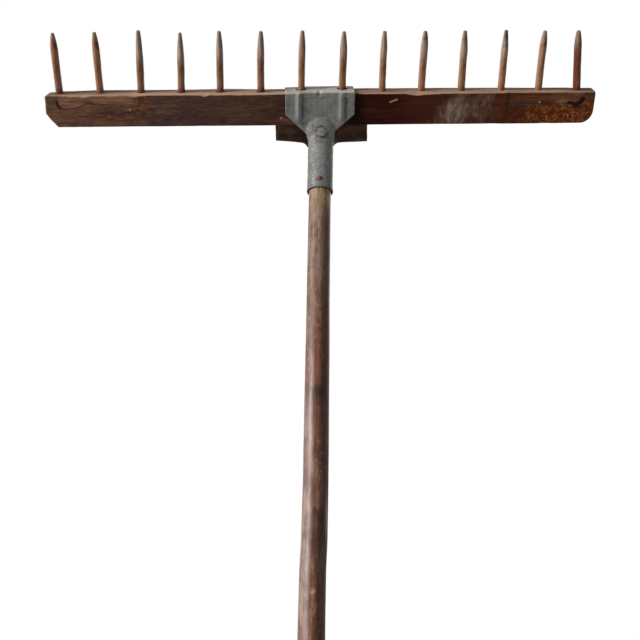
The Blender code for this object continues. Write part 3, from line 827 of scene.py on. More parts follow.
def grooves(points):
    """How far the front face has opened at the cracks and at the gouge, from nothing to one."""
    flat = points * np.array((1.0, 0.0, 1.0))
    x = points[:, 0] + 0.7 * lumps(flat, (5.0, 1.0, 5.0), 68)
    z = points[:, 2] + 0.6 * lumps(flat, (7.0, 1.0, 7.0), 69)
    wide = 1.0 + 0.9 * bell(x, -331.0, 4.0) + 0.5 * bell(x, -291.0, 8.0) + 0.2 * wobble(x, 9.0, 70)
    tear_crack = bell(line_distance(x, z, TEAR_EDGE) / wide, 0.0, 1.0) * rise(x, -232.0, -285.0)
    tear_crack = tear_crack * (0.8 + 0.2 * wobble(x, 6.0, 73))
    long_crack = bell(line_distance(x, z, LONG_CRACK), 0.0, 0.6) * (0.75 + 0.25 * wobble(x, 7.0, 74))
    rough = 0.9 * lumps(flat, (2.2, 1.0, 2.2), 71) + 0.7 * lumps(flat, (1.2, 1.0, 1.2), 72)
    thick = 0.5 + 1.7 * rise(points[:, 0], 323.0, 329.0)
    gouge = bell(np.maximum(line_distance(x, z, GOUGE) + rough - thick, 0.0), 0.0, 1.0)
    return np.maximum(tear_crack, long_crack), gouge


def worn_outline(x, y, z):
    """The bar's outline, changed by how its ends are sawn and its top has worn."""
    # The right end is sawn a little out of square, and the left end leans in at its top.
    squared = x - 0.1 * np.maximum(y, 0.0) * rise(x, 250.0, 340.0)
    squared = squared - 0.9 * rise(x, -330.0, -345.0) * rise(z, 14.0, 34.0)
    # The back of the top face has worn down towards both ends, and stands up a little between.
    droop = 1.0 * rise(x, -282.0, -318.0) + 1.2 * rise(x, -326.0, -342.0)
    droop = droop + 0.5 * rise(x, 240.0, 275.0) + 0.5 * rise(x, 318.0, 336.0)
    droop = droop - 0.9 * bell(x, -122.0, 34.0)
    droop = droop * np.clip(y / BAR_DEPTH, 0.0, 1.0) * rise(z, 10.0, 34.0)
    return polygon(squared, z + droop, bar_outline())


def cut_holes(field, points):
    """Cuts the holes for the teeth and the nails into the bar's field."""
    x, _, z = points.T
    for index in range(TOOTH_COUNT):
        near = np.abs(x - tooth_x(index)) < 14.0
        if near.any():
            start, end = tooth_line(index, -BAR_HEIGHT - 6.0, 10.0)
            hole = rod(points[near], start, end, TOOTH_RADIUS + 0.35)
            field[near] = cut(field[near], hole, 0.5)
    for nail_x, nail_z in nail_places():
        near = np.hypot(x - nail_x, z - nail_z) < 8.0
        if near.any():
            back = (nail_x, BAR_DEPTH + 4.0, nail_z)
            end = (nail_x, BAR_DEPTH - NAIL_BITE, nail_z)
            hole = rod(points[near], end, back, NAIL_RADIUS + GAP)
            field[near] = cut(field[near], hole, 0.3)


def bar_field(points):
    x, y, z = points.T
    field = extruded(worn_outline(x, y, z), y - BAR_DEPTH / 2, BAR_DEPTH / 2, 1.3)
    field = field + 0.32 * lumps(points, (130.0, 30.0, 22.0), 64)
    field = field + 0.13 * lumps(points, (30.0, 5.0, 5.0), 65)
    field = field + 0.07 * lumps(points, (14.0, 2.0, 2.0), 66)
    field = -union(-field, into_front_edge(y, z) - front_edge_wear(x), 0.6)
    into_foot = (np.maximum(y, 0.0) + z - BAR_BOTTOM) / math.sqrt(2.0)
    field = -union(-field, into_foot - 0.5 - 0.4 * wobble(x, 17.0, 67), 0.6)
    into_left = (x - BAR_LEFT + BAR_HEIGHT - z) / math.sqrt(2.0)
    field = -union(-field, into_left - 0.6 - 0.12 * np.maximum(y, 0.0), 1.6)
    crack, gouge = grooves(points)
    front = front_share(y)
    field = field + front * (0.4 * tear(x, z) + 0.3 * crack + 1.6 * gouge)
    cut_holes(field, points)
    return field


def nail_places():
    """Every nail's place on the back of the bar, as (x, z)."""
    cleat = [(x, CLEAT_NAIL_Z) for x in CLEAT_NAILS]
    return cleat + [(x, LIP_NAIL_Z) for x in LIP_NAILS]


def specks(x, z):
    """Pale specks and one scratch on the bar's front."""
    found = bell(line_distance(x, z, SCRATCH), 0.0, 0.55)
    for at_x, at_z, radius in PALE_SPECKS:
        found = np.maximum(found, bell(np.hypot(x - at_x, z - at_z), 0.0, radius))
    return np.clip(found * 1.3, 0.0, 1.0)


def collars(x, y):
    """Pale wood on the top face, in front of some of the teeth."""
    found = np.zeros(len(x))
    for index, strength in COLLARS.items():
        away = np.hypot(x - tooth_x(index), y - BAR_DEPTH / 2 + 1.5)
        found = np.maximum(found, strength * bell(away, 5.2, 2.4) * rise(y, 14.0, 9.0))
    return found


def scuffed(x, z):
    """The grey scuff, which starts along a slant and is palest near its left."""
    left = 170.0 - 0.8 * (BAR_HEIGHT - z)
    peak = bell(np.hypot(x - 172.0, 0.6 * (z - 24.0)), 0.0, 13.0)
    return rise(x, left - 18.0, left + 12.0) * (0.42 + 0.58 * peak) * rise(x, 238.0, 206.0)


def shaded(x, z, crack, gouge):
    """Painted shadow beside the bracket, painted shade in the gouge and the crack, and a dark mark left of
    the crazed end.
    """
    shade = rise(x, 62.0, 44.0) * rise(x, 30.0, 40.0)
    shade = np.maximum(shade, 0.7 * bell(x, 239.0, 3.0) * (0.3 + 0.7 * rise(z, 12.0, 24.0)))
    return 0.75 * np.maximum(shade, np.maximum(1.1 * gouge, 0.8 * crack * bell(x, -331.0, 4.0)))


def bar_masks(points, normals):
    x, y, z = points.T
    front = rise(-normals[:, 1], 0.25, 0.7)
    top = rise(normals[:, 2], 0.45, 0.85)
    crack, gouge = grooves(points)
    edge = bell(into_front_edge(y, z) - front_edge_wear(x), 0.0, 0.9) * rise(normals[:, 2], 0.2, 0.6)
    ends = rise(np.abs(normals[:, 0]), 0.3, 0.8)
    right = rise(x, 226.0, 240.0)
    grime = 0.7 * rise(x, -232.0, -300.0) + bell(x, 350.0, 40.0)
    grime = grime + 0.3 * bell(x, 30.0, 60.0) + 0.5 * bell(x, 264.0, 30.0)
    over_crack = z - np.interp(x, *zip(*LONG_CRACK))
    smear = bell(over_crack, 0.8, 2.6) * rise(x, 236.0, 242.0) * rise(x, 298.0, 264.0)
    smear = np.maximum(smear, 0.9 * bell(np.hypot(0.8 * (x - 345.0), z - 33.0), 0.0, 4.5))
    dusty = bell(np.hypot((x - 311.0) / 2.6, z - 27.0), 0.0, 3.0)
    above = rise(over_crack, -0.6, 0.6)
    return {
        "patch": tear(x, z) * front,
        "groove": np.maximum(crack, gouge) * front,
        "smear": smear * front,
        "dusty": dusty * front,
        "dense": 0.25 + 0.75 * rise(x, 244.0, 288.0),
        "scar": bell(np.hypot(x + 229.0, 1.2 * (z - 31.0)), 0.0, 10.0) * front,
        "grime": grime,
        "speck": specks(x, z) * front,
        "scuff": scuffed(x, z) * front,
        "crazed": right * (1.0 - above) * front,
        "band": right * above * rise(x, 345.0, 325.0) * front,
        "red": bell(np.hypot(x - 231.0, z - 28.5), 0.0, 4.0) * front,
        "shade": shaded(x, z, crack, gouge) * front,
        "top": top,
        "edge": np.maximum(edge, ends * 0.35),
        "collar": collars(x, y) * top,
    }


def make_bar():
    low = (BAR_LEFT - 2.0, -2.0, BAR_BOTTOM - 2.0)
    high = (BAR_RIGHT + 2.0, BAR_DEPTH + 2.0, BAR_HEIGHT + 2.0)
    shape = skin(bar_field, low, high, BAR_STEP)
    make_piece("stained_head_bar", shape, HEAD_MM, BAR_FINISH, "bar_wood", "head_bar", bar_masks)


# ---- The teeth ----

# Each tooth from left to right: (radius, how much it stands out beyond the rest, length of its
# point, radius of its tip, how full its point is, how square its tip is).
TOOTH_SHAPES = (
    (4.6, -0.7, 22.0, 1.9, 2.0, 0.3),
    (4.5, 0.0, 24.0, 2.0, 2.3, 0.7),
    (4.55, 1.8, 40.0, 2.5, 1.7, 0.9),
    (4.55, -0.8, 36.0, 2.0, 1.95, 0.4),
    (4.5, 0.8, 32.0, 2.1, 2.0, 0.6),
    (4.6, 0.4, 32.0, 2.3, 2.0, 0.5),
    (4.35, 1.0, 28.0, 2.2, 2.3, 0.6),
    (4.65, 0.0, 28.0, 2.0, 2.3, 0.1),
    (4.45, 0.3, 30.0, 2.1, 2.3, 0.1),
    (4.65, -0.2, 26.0, 2.1, 2.5, 0.9),
    (4.65, 0.2, 30.0, 2.1, 2.1, 0.7),
    (4.6, 0.7, 30.0, 2.2, 1.75, 0.6),
    (4.55, 0.0, 24.0, 2.1, 2.4, 0.1),
    (4.85, 0.5, 22.0, 2.3, 2.0, 0.1),
)
# Teeth with a dark nick at the shoulder of the point, as {index: height}.
TOOTH_NICKS = {9: 66.0, 10: 64.5, 11: 56.0, 12: 57.4}
# Teeth whose points are dark, as {index: strength}.
DARK_TIPS = {9: 0.4, 10: 0.3, 11: 1.0}
# Each tooth from left to right: (how red it is, how tan it is, how much lower its grey starts).
TOOTH_TONES = (
    (0.35, 0.15, -24.0),
    (0.5, 0.4, -24.0),
    (0.1, 0.0, 4.0),
    (0.0, 0.0, 8.0),
    (0.1, 0.0, 4.0),
    (0.1, 0.0, 2.0),
    (0.3, 0.5, -4.0),
    (0.2, 0.1, 0.0),
    (0.1, 0.6, 4.0),
    (0.1, 0.6, 6.0),
    (0.3, 0.4, 2.0),
    (0.3, 0.6, 2.0),
    (0.4, 0.7, -16.0),
    (1.0, 0.0, -11.0),
)
TOOTH_SIDES = 28


def point_radii(heights, shape):
    """The radius of a tooth at each height above the bar."""
    radius, extra, length, tip, fullness, _ = shape
    share = np.clip((TOOTH_STAND_OUT + extra - heights) / length, 0.0, 1.0)
    return tip + (radius - tip) * (1.0 - (1.0 - share) ** fullness)


def flats(angles, sides, turn):
    """The radius of a many-sided outline whose corners are at 1."""
    part = (angles + turn) % (2 * math.pi / sides) - math.pi / sides
    return math.cos(math.pi / sides) / np.cos(part)


def tooth_rings(index, draw):
    shape = TOOTH_SHAPES[index]
    top = TOOTH_STAND_OUT + shape[1]
    tip, square = shape[3], shape[5]
    tip_round = tip * (1.0 - 0.65 * square)
    crown = top - tip_round
    shank = np.linspace(BAR_BOTTOM - BAR_HEIGHT, -1.0, 14)
    clear = np.linspace(0.0, crown, 74)
    heights = np.concatenate([shank, clear])
    radii = point_radii(heights, shape)
    shoulder = radii[-1]
    for angle in np.radians(np.linspace(12.0, 84.0, 7)):
        heights = np.append(heights, crown + tip_round * math.sin(angle))
        radii = np.append(radii, shoulder - tip_round * (1.0 - math.cos(angle)))
    angles = np.arange(TOOTH_SIDES) * 2 * math.pi / TOOTH_SIDES
    turn, bend_x, bend_y = draw.uniform(0, 1), draw.uniform(-0.3, 0.3), draw.uniform(-0.3, 0.3)
    rings = []
    for height, radius in zip(heights, radii):
        whittled = rise(height, 20.0, 60.0)
        faceted = flats(angles, 7, turn + 0.004 * height)
        outline = radius * (1.03 - (0.35 + 0.5 * whittled) * (1.0 - faceted))
        bow = math.sin(math.pi * np.clip(height / TOOTH_STAND_OUT, 0.0, 1.0))
        ring = np.stack(
            [
                outline * np.cos(angles) + bend_x * bow,
                outline * np.sin(angles) + bend_y * bow,
                np.full(TOOTH_SIDES, height),
            ],
            axis=1,
        )
        rings.append(ring)
    return np.array(rings)


def roughened(rings, seed):
    """Pushes each ring in and out along its own radius, outside the bar only."""
    middles = rings.mean(axis=1, keepdims=True)
    outward = rings - middles
    size = np.linalg.norm(outward, axis=2, keepdims=True)
    flat = rings.reshape(-1, 3)
    push = 0.16 * lumps(flat, (6.0, 6.0, 13.0), seed) + 0.07 * lumps(flat, (1.6, 1.6, 9.0), seed + 1)
    push = push * rise(flat[:, 2], 0.0, 6.0)
    return rings + outward / np.maximum(size, 1e-6) * push.reshape(size.shape)


def tooth_masks(index):
    def masks(points, normals):
        x, _, z = points.T
        nick = np.zeros(len(z))
        if index in TOOTH_NICKS:
            tilt = 0.35 * x + 0.8 * lumps(points, (2.0, 2.0, 2.0), 75)
            nick = bell(z - tilt, TOOTH_NICKS[index], 1.1) * rise(-normals[:, 1], -0.2, 0.6)
            nick = nick * (0.45 + 0.55 * rise(normals[:, 0], -0.5, 0.6))
        red, tan, weather = TOOTH_TONES[index]
        last = index == TOOTH_COUNT - 1
        return {
            "red": np.full(len(z), red),
            "tan": np.full(len(z), tan),
            "weather": np.full(len(z), weather),
            "nick": nick,
            # lit is painted light on the left flank and dim painted shade on the right flank.
            "lit": rise(-normals[:, 0], 0.3, 0.95) * (0.0 if last else 1.0),
            "dim": rise(normals[:, 0], 0.1, 0.8) * (0.35 if index < 2 else 1.0),
            "dark": DARK_TIPS.get(index, 0.0) * rise(z + 3.0 * normals[:, 0], 58.0, 66.0),
        }

    return masks


def make_teeth():
    draw = np.random.default_rng(14)
    for index in range(TOOTH_COUNT):
        rings = roughened(tooth_rings(index, draw), 72 + 2 * index)
        node = f"tine_{index + 1:02d}"
        place = HEAD_MM @ tooth_place(index)
        name = f"whittled_tooth_{index + 1:02d}"
        make_piece(name, loft(rings), place, TOOTH_FINISH, "tine_wood", node, tooth_masks(index))


# ---- The socket bracket ----

BRACKET_STEP = 0.665
FOLD_RADIUS = 2.6
RIB_HEIGHT = 1.7
RIB_HALF_WIDTH = 5.2
FRONT_OUTLINE = [
    (PLATE_LEFT, 80.0),
    (PLATE_LEFT, PLATE_SHOULDER),
    (-19.0, -12.5),
    (-15.5, -24.0),
    (15.5, -24.0),
    (17.0, -9.0),
    (PLATE_RIGHT, PLATE_SHOULDER),
    (PLATE_RIGHT, 80.0),
]
HEAD_TO_ROW = np.array(HEAD_MM)


def to_rim(points):
    """Head-frame points in the row's axes, from the middle of the socket's rim."""
    turned = points @ HEAD_TO_ROW[:3, :3].T + HEAD_TO_ROW[:3, 3]
    return turned - np.array((0.0, 0.0, RIM_Z))


def plate_lift(x, z):
    """How far the front of the pressing stands out from flat."""
    lift = np.zeros(len(x))
    for centre in RIB_CENTRES:
        rounded = rise(np.abs(x - centre), RIB_HALF_WIDTH, 0.0)
        foot = 5.0 if centre < 0 else 4.0
        lift += RIB_HEIGHT * rounded * rise(z, foot - 5.0, foot + 7.0) * rise(z, 44.0, 36.0)
    panel = rise(x, -22.5, -19.5) * rise(x, 11.0, 8.5)
    lift -= 0.45 * panel * rise(z, 8.0, 12.0) * rise(z, 36.0, 33.5)
    return lift


def fold_dent(x, y, z):
    """A pinch across the fold, made when the sheet was bent."""
    across = bell(x + 3.0 - 0.25 * (z - 41.0), 0.0, 2.3)
    return 1.3 * across * rise(z, 33.0, 40.0) * rise(y, 9.0, 2.0)


def folded_sheet(points):
    x, y, z = points.T
    lifted = y + plate_lift(x, z) * rise(y, 6.0, 2.0)
    middle = GAP + SHEET / 2
    corner = FOLD_RADIUS - SHEET / 2
    across = np.abs(lifted - BAR_DEPTH / 2) - (BAR_DEPTH / 2 + middle) + corner
    arch = 1.1 * rise(x, -44.0, -8.0) - 0.3
    upward = z - arch - (BAR_HEIGHT + middle) + corner
    outside = np.hypot(np.maximum(across, 0.0), np.maximum(upward, 0.0))
    hull = outside + np.minimum(np.maximum(across, upward), 0.0) - corner
    sheet = np.abs(hull + fold_dent(x, y, z)) - SHEET / 2
    front = polygon(x, z, FRONT_OUTLINE)
    half = (PLATE_RIGHT - PLATE_LEFT) / 2
    sides = np.abs(x - (PLATE_RIGHT + PLATE_LEFT) / 2) - half
    back = np.maximum(sides, LIP_BOTTOM - z + 0.35 * wobble(x, 12.0, 81))
    outline = np.where(y < BAR_DEPTH / 2, front, back)
    return -union(-sheet, -outline, 0.7)


def socket_solid(points, rim, grow):
    """The tube and its nose, grown by some amount: the outside and the hollow are two of these."""
    wide = TUBE_RADIUS + grow
    flare = 0.35 * rise(rim[:, 2], 10.0, 0.0)
    from_axis = np.hypot(rim[:, 0], rim[:, 1]) - flare
    tube = np.maximum(from_axis - wide, rim[:, 2] - TUBE_LENGTH)
    nose_radii = (17.2 + grow, 5.4 + grow, 16.8 + grow)
    nose = ellipsoid(points, (-1.8, -GAP - SHEET + 0.3, -9.2), nose_radii)
    return union(tube, nose, 3.4)


def bracket_field(points):
    rim = to_rim(points)
    socket = np.maximum(socket_solid(points, rim, 0.0), -rim[:, 2])
    bar_room = box(points, (-80.0, -GAP, -3.0), (80.0, 60.0, 70.0))
    socket = np.maximum(socket, -bar_room)
    field = union(socket, folded_sheet(points), 3.4)
    hollow = socket_solid(points, rim, BORE_RADIUS - TUBE_RADIUS)
    bore = np.hypot(rim[:, 0], rim[:, 1]) - BORE_RADIUS - 0.35 * rise(rim[:, 2], 10.0, 0.0)
    field = cut(field, union(hollow, bore, 0.5), 0.5)
    seam = box(rim, (-0.75, 8.0, -10.0), (0.75, 30.0, TUBE_LENGTH + 10.0))
    field = cut_bracket_holes(cut(field, seam, 0.5), points, rim)
    return field + 0.12 * lumps(points, (9.0, 9.0, 9.0), 82) + 0.05 * lumps(points, (3.0, 3.0, 3.0), 83)


def cut_bracket_holes(field, points, rim):
    """The field with the bolt's seat and the holes for the bolt, pin, teeth and nails."""
    seat_start = (0.0, -40.0, BOLT_ABOVE_RIM)
    bolt_seat = rod(rim, seat_start, (0.0, BOLT_SEAT_Y, BOLT_ABOVE_RIM), BOLT_HEAD_RADIUS + 0.35)
    field = cut(field, bolt_seat, 0.9)
    bolt_hole = rod(rim, (0.0, -50.0, BOLT_ABOVE_RIM), (0.0, 50.0, BOLT_ABOVE_RIM), BOLT_RADIUS + GAP)
    pin_hole = rod(rim, (PIN_X, -50.0, PIN_ABOVE_RIM), (PIN_X, 50.0, PIN_ABOVE_RIM), PIN_RADIUS + GAP)
    field = np.maximum(field, -np.minimum(bolt_hole, pin_hole))
    for index in (6, 7):
        start, end = tooth_line(index, -8.0, 12.0)
        field = cut(field, rod(points, start, end, 6.6), 0.5)
    for nail_x in LIP_NAILS:
        nail = rod(points, (nail_x, 15.0, LIP_NAIL_Z), (nail_x, 40.0, LIP_NAIL_Z), 1.65)
        field = cut(field, nail, 0.4)
    return field


def bracket_masks(points, normals):
    x, y, z = points.T
    rim = to_rim(points)
    from_axis = np.hypot(rim[:, 0], rim[:, 1])
    plate = rise(z, -6.0, 2.0) * rise(y, 2.0, 0.0)
    # The fold's top face, painted paler for light from above.
    top = rise(normals[:, 2], 0.2, 0.7) * rise(z, 34.0, 38.0)
    ridge = np.zeros(len(x))
    hollow = np.zeros(len(x))
    # The ribs get a painted highlight on their lit left side and painted shade at their right foot.
    for centre in RIB_CENTRES:
        ridge = np.maximum(ridge, bell(x, centre - 1.0, 1.6) * plate * rise(z, 6.0, 12.0))
        hollow = np.maximum(hollow, bell(x, centre + 5.4, 1.7) * plate)
    # Painted shade under the bolt head.
    seat_away = np.hypot(rim[:, 0], rim[:, 2] - BOLT_ABOVE_RIM)
    seat_edge = bell(seat_away, BOLT_HEAD_RADIUS + 0.6, 0.7) * rise(-rim[:, 1], 12.0, 15.0)
    seat_edge = seat_edge * rise(rim[:, 2], BOLT_ABOVE_RIM + 3.0, BOLT_ABOVE_RIM - 3.0)
    hollow = np.maximum(hollow, seat_edge)
    # Painted shade inside the tube.
    inside = rise(from_axis, 14.9, 14.2) * rise(rim[:, 2], 84.0, 78.0)
    rim_edge = bell(rim[:, 2], 0.0, 0.9)
    pin_away = np.hypot(rim[:, 0] - PIN_X, rim[:, 2] - PIN_ABOVE_RIM + 1.0)
    return {
        "ridge": ridge,
        "hollow": np.maximum(hollow, inside * 0.9),
        "rim": rim_edge,
        "plate": plate,
        "top": top,
        "rust": bell(pin_away, 0.0, 4.4) * rise(-rim[:, 1], 8.0, 12.0),
    }


def make_bracket():
    low = (PLATE_LEFT - 2.0, -68.0, -88.0)
    high = (PLATE_RIGHT + 2.0, BAR_DEPTH + 4.0, BAR_HEIGHT + 4.5)
    shape = skin(bracket_field, low, high, BRACKET_STEP)
    looks = (ZINC_FINISH, "zinc_sheet", "socket_bracket", bracket_masks)
    make_piece("pressed_socket_bracket", shape, HEAD_MM, *looks)


# ---- The cleat behind the bar ----

CLEAT_STEP = 0.95


def cleat_outline():
    saddle = arc((26.4, -42.6), 10.0, 90, 160, 7)
    left = [(-x, z) for x, z in saddle]
    return [
        (-59.0, -29.6),
        (-38.0, -31.2),
        *left,
        *reversed(saddle),
        (40.0, -32.0),
        (62.4, -31.6),
        (62.4, 20.0),
        (-59.0, 20.0),
    ]


def cleat_field(points):
    x, y, z = points.T
    middle = BAR_DEPTH + GAP + CLEAT_DEPTH / 2
    field = extruded(polygon(x, z, cleat_outline()), y - middle, CLEAT_DEPTH / 2, 0.9)
    field = field + 0.25 + 0.28 * lumps(points, (40.0, 14.0, 12.0), 91)
    field = field + 0.14 * lumps(points, (14.0, 3.0, 3.0), 92) + 0.1 * lumps(points, (2.6, 9.0, 9.0), 93)
    for nail_x in CLEAT_NAILS:
        start = (nail_x, BAR_DEPTH - 4.0, CLEAT_NAIL_Z)
        end = (nail_x, BAR_DEPTH + CLEAT_DEPTH + 6.0, CLEAT_NAIL_Z)
        field = cut(field, rod(points, start, end, NAIL_RADIUS + GAP), 0.4)
    return field


def cleat_masks(points, normals):
    x, y, z = points.T
    middle = BAR_DEPTH + GAP + CLEAT_DEPTH / 2
    from_side = CLEAT_DEPTH / 2 - np.abs(y - middle)
    from_outline = -polygon(x, z, cleat_outline())
    return {"edge": bell(np.hypot(from_side, from_outline), 0.0, 1.6)}


def make_cleat():
    low = (-63.0, BAR_DEPTH - 2.0, -42.0)
    high = (66.0, BAR_DEPTH + GAP + CLEAT_DEPTH + 2.0, 23.0)
    shape = skin(cleat_field, low, high, CLEAT_STEP)
    looks = (CLEAT_FINISH, "cleat_wood", "backing_cleat", cleat_masks)
    make_piece("sawn_backing_cleat", shape, HEAD_MM, *looks)


# ---- The handle ----

# The handle's radius, and how far its middle has bowed to the right, at heights above the butt.
HANDLE_SHAPE = (
    (0.0, 10.8, 0.0),
    (0.8, 13.0, 0.0),
    (4.0, 14.8, 0.0),
    (250.0, 15.4, -0.5),
    (600.0, 15.5, -1.2),
    (880.0, 15.1, -0.9),
    (930.0, 15.0, -0.6),
    (975.0, 14.9, 0.5),
    (1040.0, 14.7, 0.9),
    (1150.0, 14.4, 0.5),
    (1400.0, 14.0, 0.1),
    (1480.0, 13.7, 0.0),
)
HANDLE_SIDES = 48
# Drying cracks as (middle height, half length, turn round the handle), in mm and radians.
HANDLE_CHECKS = ((1250.0, 90.0, 1.9), (1120.0, 70.0, 2.6), (560.0, 140.0, 1.2), (300.0, 110.0, -1.2))
# Dark smudges as (height, turn, half height, half turn).
HANDLE_SMUDGES = ((1137.0, -1.3, 11.0, 1.3), (993.0, -0.95, 8.0, 0.28), (967.0, -1.3, 14.0, 0.6))
# Pale scratches, in the same way.
HANDLE_SCRATCHES = ((913.0, -1.571, 2.4, 0.1), (993.0, -0.524, 22.0, 0.06))


def eased(heights, column):
    """Reads a column of the handle's shape at each height, turning smoothly between rows."""
    known = np.array([row[0] for row in HANDLE_SHAPE])
    values = np.array([row[column] for row in HANDLE_SHAPE])
    after = np.clip(np.searchsorted(known, heights, side="right"), 1, len(known) - 1)
    share = np.clip((heights - known[after - 1]) / (known[after] - known[after - 1]), 0.0, 1.0)
    if column == 2:
        share = ease(share)
    return values[after - 1] + share * (values[after] - values[after - 1])


def check_lines(points):
    """Long drying cracks in the handle: one on each crack, nothing away from it."""
    x, y, z = points.T
    angles = np.arctan2(y, x)
    found = np.zeros(len(z))
    for middle, half, turn in HANDLE_CHECKS:
        aim = turn + 0.0008 * (z - middle) + 0.05 * wobble(z, 30.0, 101)
        aside = np.abs((angles - aim + math.pi) % (2 * math.pi) - math.pi) * 14.0
        ends = rise(np.abs(z - middle), half, half * 0.5)
        found = np.maximum(found, bell(aside, 0.0, 0.8) * ends)
    return found


def marks(points, places):
    """Smudges or scratches on the handle: one at the middle of each, nothing away from it."""
    x, y, z = points.T
    angles = np.arctan2(y, x)
    found = np.zeros(len(z))
    for height, turn, tall, wide in places:
        aside = (angles - turn + math.pi) % (2 * math.pi) - math.pi
        found = np.maximum(found, bell(np.hypot((z - height) / tall, aside / wide), 0.0, 1.0))
    return found


def handle_rings():
    butt = [0.0, 0.35, 0.8, 1.6, 2.6, 4.0, 7.0, 11.0, 16.0]
    body = np.arange(21.0, HANDLE_TOP - 3.5, 4.0)
    heights = np.concatenate([butt, body, [HANDLE_TOP - 3.0, HANDLE_TOP - 1.0, HANDLE_TOP]])
    radii = eased(heights, 1)
    radii[-1] -= 3.0
    radii[-2] -= 0.9
    bows = eased(heights, 2)
    angles = np.arange(HANDLE_SIDES) * 2 * math.pi / HANDLE_SIDES
    rings = np.empty((len(heights), HANDLE_SIDES, 3))
    rings[:, :, 0] = radii[:, None] * np.cos(angles) + bows[:, None]
    rings[:, :, 1] = radii[:, None] * np.sin(angles)
    rings[:, :, 2] = heights[:, None]
    flat = rings.reshape(-1, 3)
    push = 0.16 * lumps(flat, (16.0, 16.0, 90.0), 102) + 0.08 * lumps(flat, (4.0, 4.0, 40.0), 103)
    push = push - 0.35 * check_lines(flat)
    push = push * rise(flat[:, 2], 0.0, 3.0)
    outward = np.stack([np.cos(angles), np.sin(angles), np.zeros(HANDLE_SIDES)], axis=1)
    return rings + push.reshape(len(heights), HANDLE_SIDES, 1) * outward


def handle_masks(points, normals):
    z = points[:, 2]
    leftward = -normals[:, 0]
    return {
        "check": check_lines(points),
        "smudge": marks(points, HANDLE_SMUDGES),
        "scratch": marks(points, HANDLE_SCRATCHES),
        "butt": rise(z, 26.0, 4.0),
        # side is painted shade on the right flank, and lit_side a painted highlight on the left flank.
        "side": rise(normals[:, 0], -0.1, 0.5) * rise(z, 1400.0, 1350.0),
        "lit_side": np.maximum(0.55 * rise(leftward, 0.3, 0.8), 0.55 * bell(leftward, 0.46, 0.18)),
    }


def make_handle():
    shape = loft(handle_rings())
    make_piece("varnished_handle", shape, ROW_MM, HANDLE_FINISH, "handle_wood", "handle", handle_masks)


# ---- Fasteners. Each is shaped along +Z from its own seat, its head above and its shank below. ----

FRONT_FACING = Matrix.Rotation(math.pi / 2, 4, "X")
BACK_FACING = Matrix.Rotation(-math.pi / 2, 4, "X")


def threaded(points, radius, pitch, low, high):
    """A rod along Z with a screw thread cut in it."""
    x, y, z = points.T
    turn = np.arctan2(y, x) / (2 * math.pi)
    phase = np.abs(((z / pitch - turn) % 1.0) - 0.5) * 2.0
    depth = 0.45 * (1.0 - phase)
    return np.maximum(np.hypot(x, y) - radius + depth, np.maximum(z - high, low - z))


def dome(points, radius, height):
    """A shallow round head, flat underneath."""
    ball = (radius**2 + height**2) / (2 * height)
    away = np.linalg.norm(points - np.array((0.0, 0.0, height - ball)), axis=1) - ball
    return -union(-away, points[:, 2], 0.5)


def bolt_field(points):
    length = BOLT_END_Y - BOLT_SEAT_Y + GAP
    plain = rod(points, (0, 0, -24.0), (0, 0, 1.0), BOLT_RADIUS)
    thread = threaded(points, BOLT_RADIUS, 1.4, -length + 0.2, -20.0)
    edge = rod(points, (0, 0, 0), (0, 0, 2.8), BOLT_HEAD_RADIUS, 0.7)
    head = union(edge, dome(points - np.array((0.0, 0.0, 2.4)), BOLT_HEAD_RADIUS - 0.4, 1.5), 0.6)
    pocks = 0.1 * lumps(points, (2.5, 2.5, 2.5), 111)
    return union(np.minimum(plain, thread), head, 0.5) + pocks * rise(points[:, 2], -1.0, 1.0)


def washer_field(points):
    x, y, z = points.T
    half = WASHER_THICKNESS / 2
    ring = extruded(np.hypot(x, y) - WASHER_RADIUS, z - half, half, 0.35)
    return np.maximum(ring, 4.35 - np.hypot(x, y)) + 0.05 * lumps(points, (3.0, 3.0, 3.0), 112)


def nut_field(points):
    x, y, z = points.T
    flat_half = NUT_RADIUS * math.cos(math.pi / 6)
    hexagon = np.full(len(x), -np.inf)
    for side in range(3):
        turn = math.pi / 6 + side * math.pi / 3
        hexagon = np.maximum(hexagon, np.abs(x * math.cos(turn) + y * math.sin(turn)) - flat_half)
    body = extruded(hexagon, z - NUT_HALF_HEIGHT, NUT_HALF_HEIGHT, 0.25)
    away = np.hypot(x, y)
    chamfer = (away - 6.7) * 0.5 + np.abs(z - NUT_HALF_HEIGHT) - NUT_HALF_HEIGHT
    nut = np.maximum(np.maximum(body, chamfer * 0.9), BOLT_RADIUS + GAP - away)
    return nut + 0.05 * lumps(points, (2.0, 2.0, 2.0), 113)


def pin_field(points):
    across = 2 * (TUBE_RADIUS + GAP)
    shank = rod(points, (0, 0, -across), (0, 0, 0.5), PIN_RADIUS)
    head = dome(points, PIN_HEAD_RADIUS, 1.6)
    riveted = rod(points, (0, 0, -across - 1.3), (0, 0, -across), 2.9, 0.6)
    return union(union(shank, head, 0.5), riveted, 0.5) + 0.12 * lumps(points, (1.8, 1.8, 1.8), 114)


def nail_field(length):
    def field(points):
        shank = rod(points, (0, 0, NAIL_POINT - length), (0, 0, GAP + 0.5), NAIL_RADIUS)
        from_end = points[:, 2] + length
        away = np.hypot(points[:, 0], points[:, 1])
        cone = (away - NAIL_RADIUS + (NAIL_POINT - from_end) * 0.62) * 0.85
        point = np.maximum(np.maximum(cone, -from_end), from_end - NAIL_POINT - 1.0)
        head = rod(points, (0, 0, GAP), (0, 0, GAP + 1.1), NAIL_HEAD_RADIUS, 0.4)
        return union(np.minimum(shank, point), head, 0.3) + 0.07 * lumps(points, (1.6, 1.6, 1.6), 115)

    return field


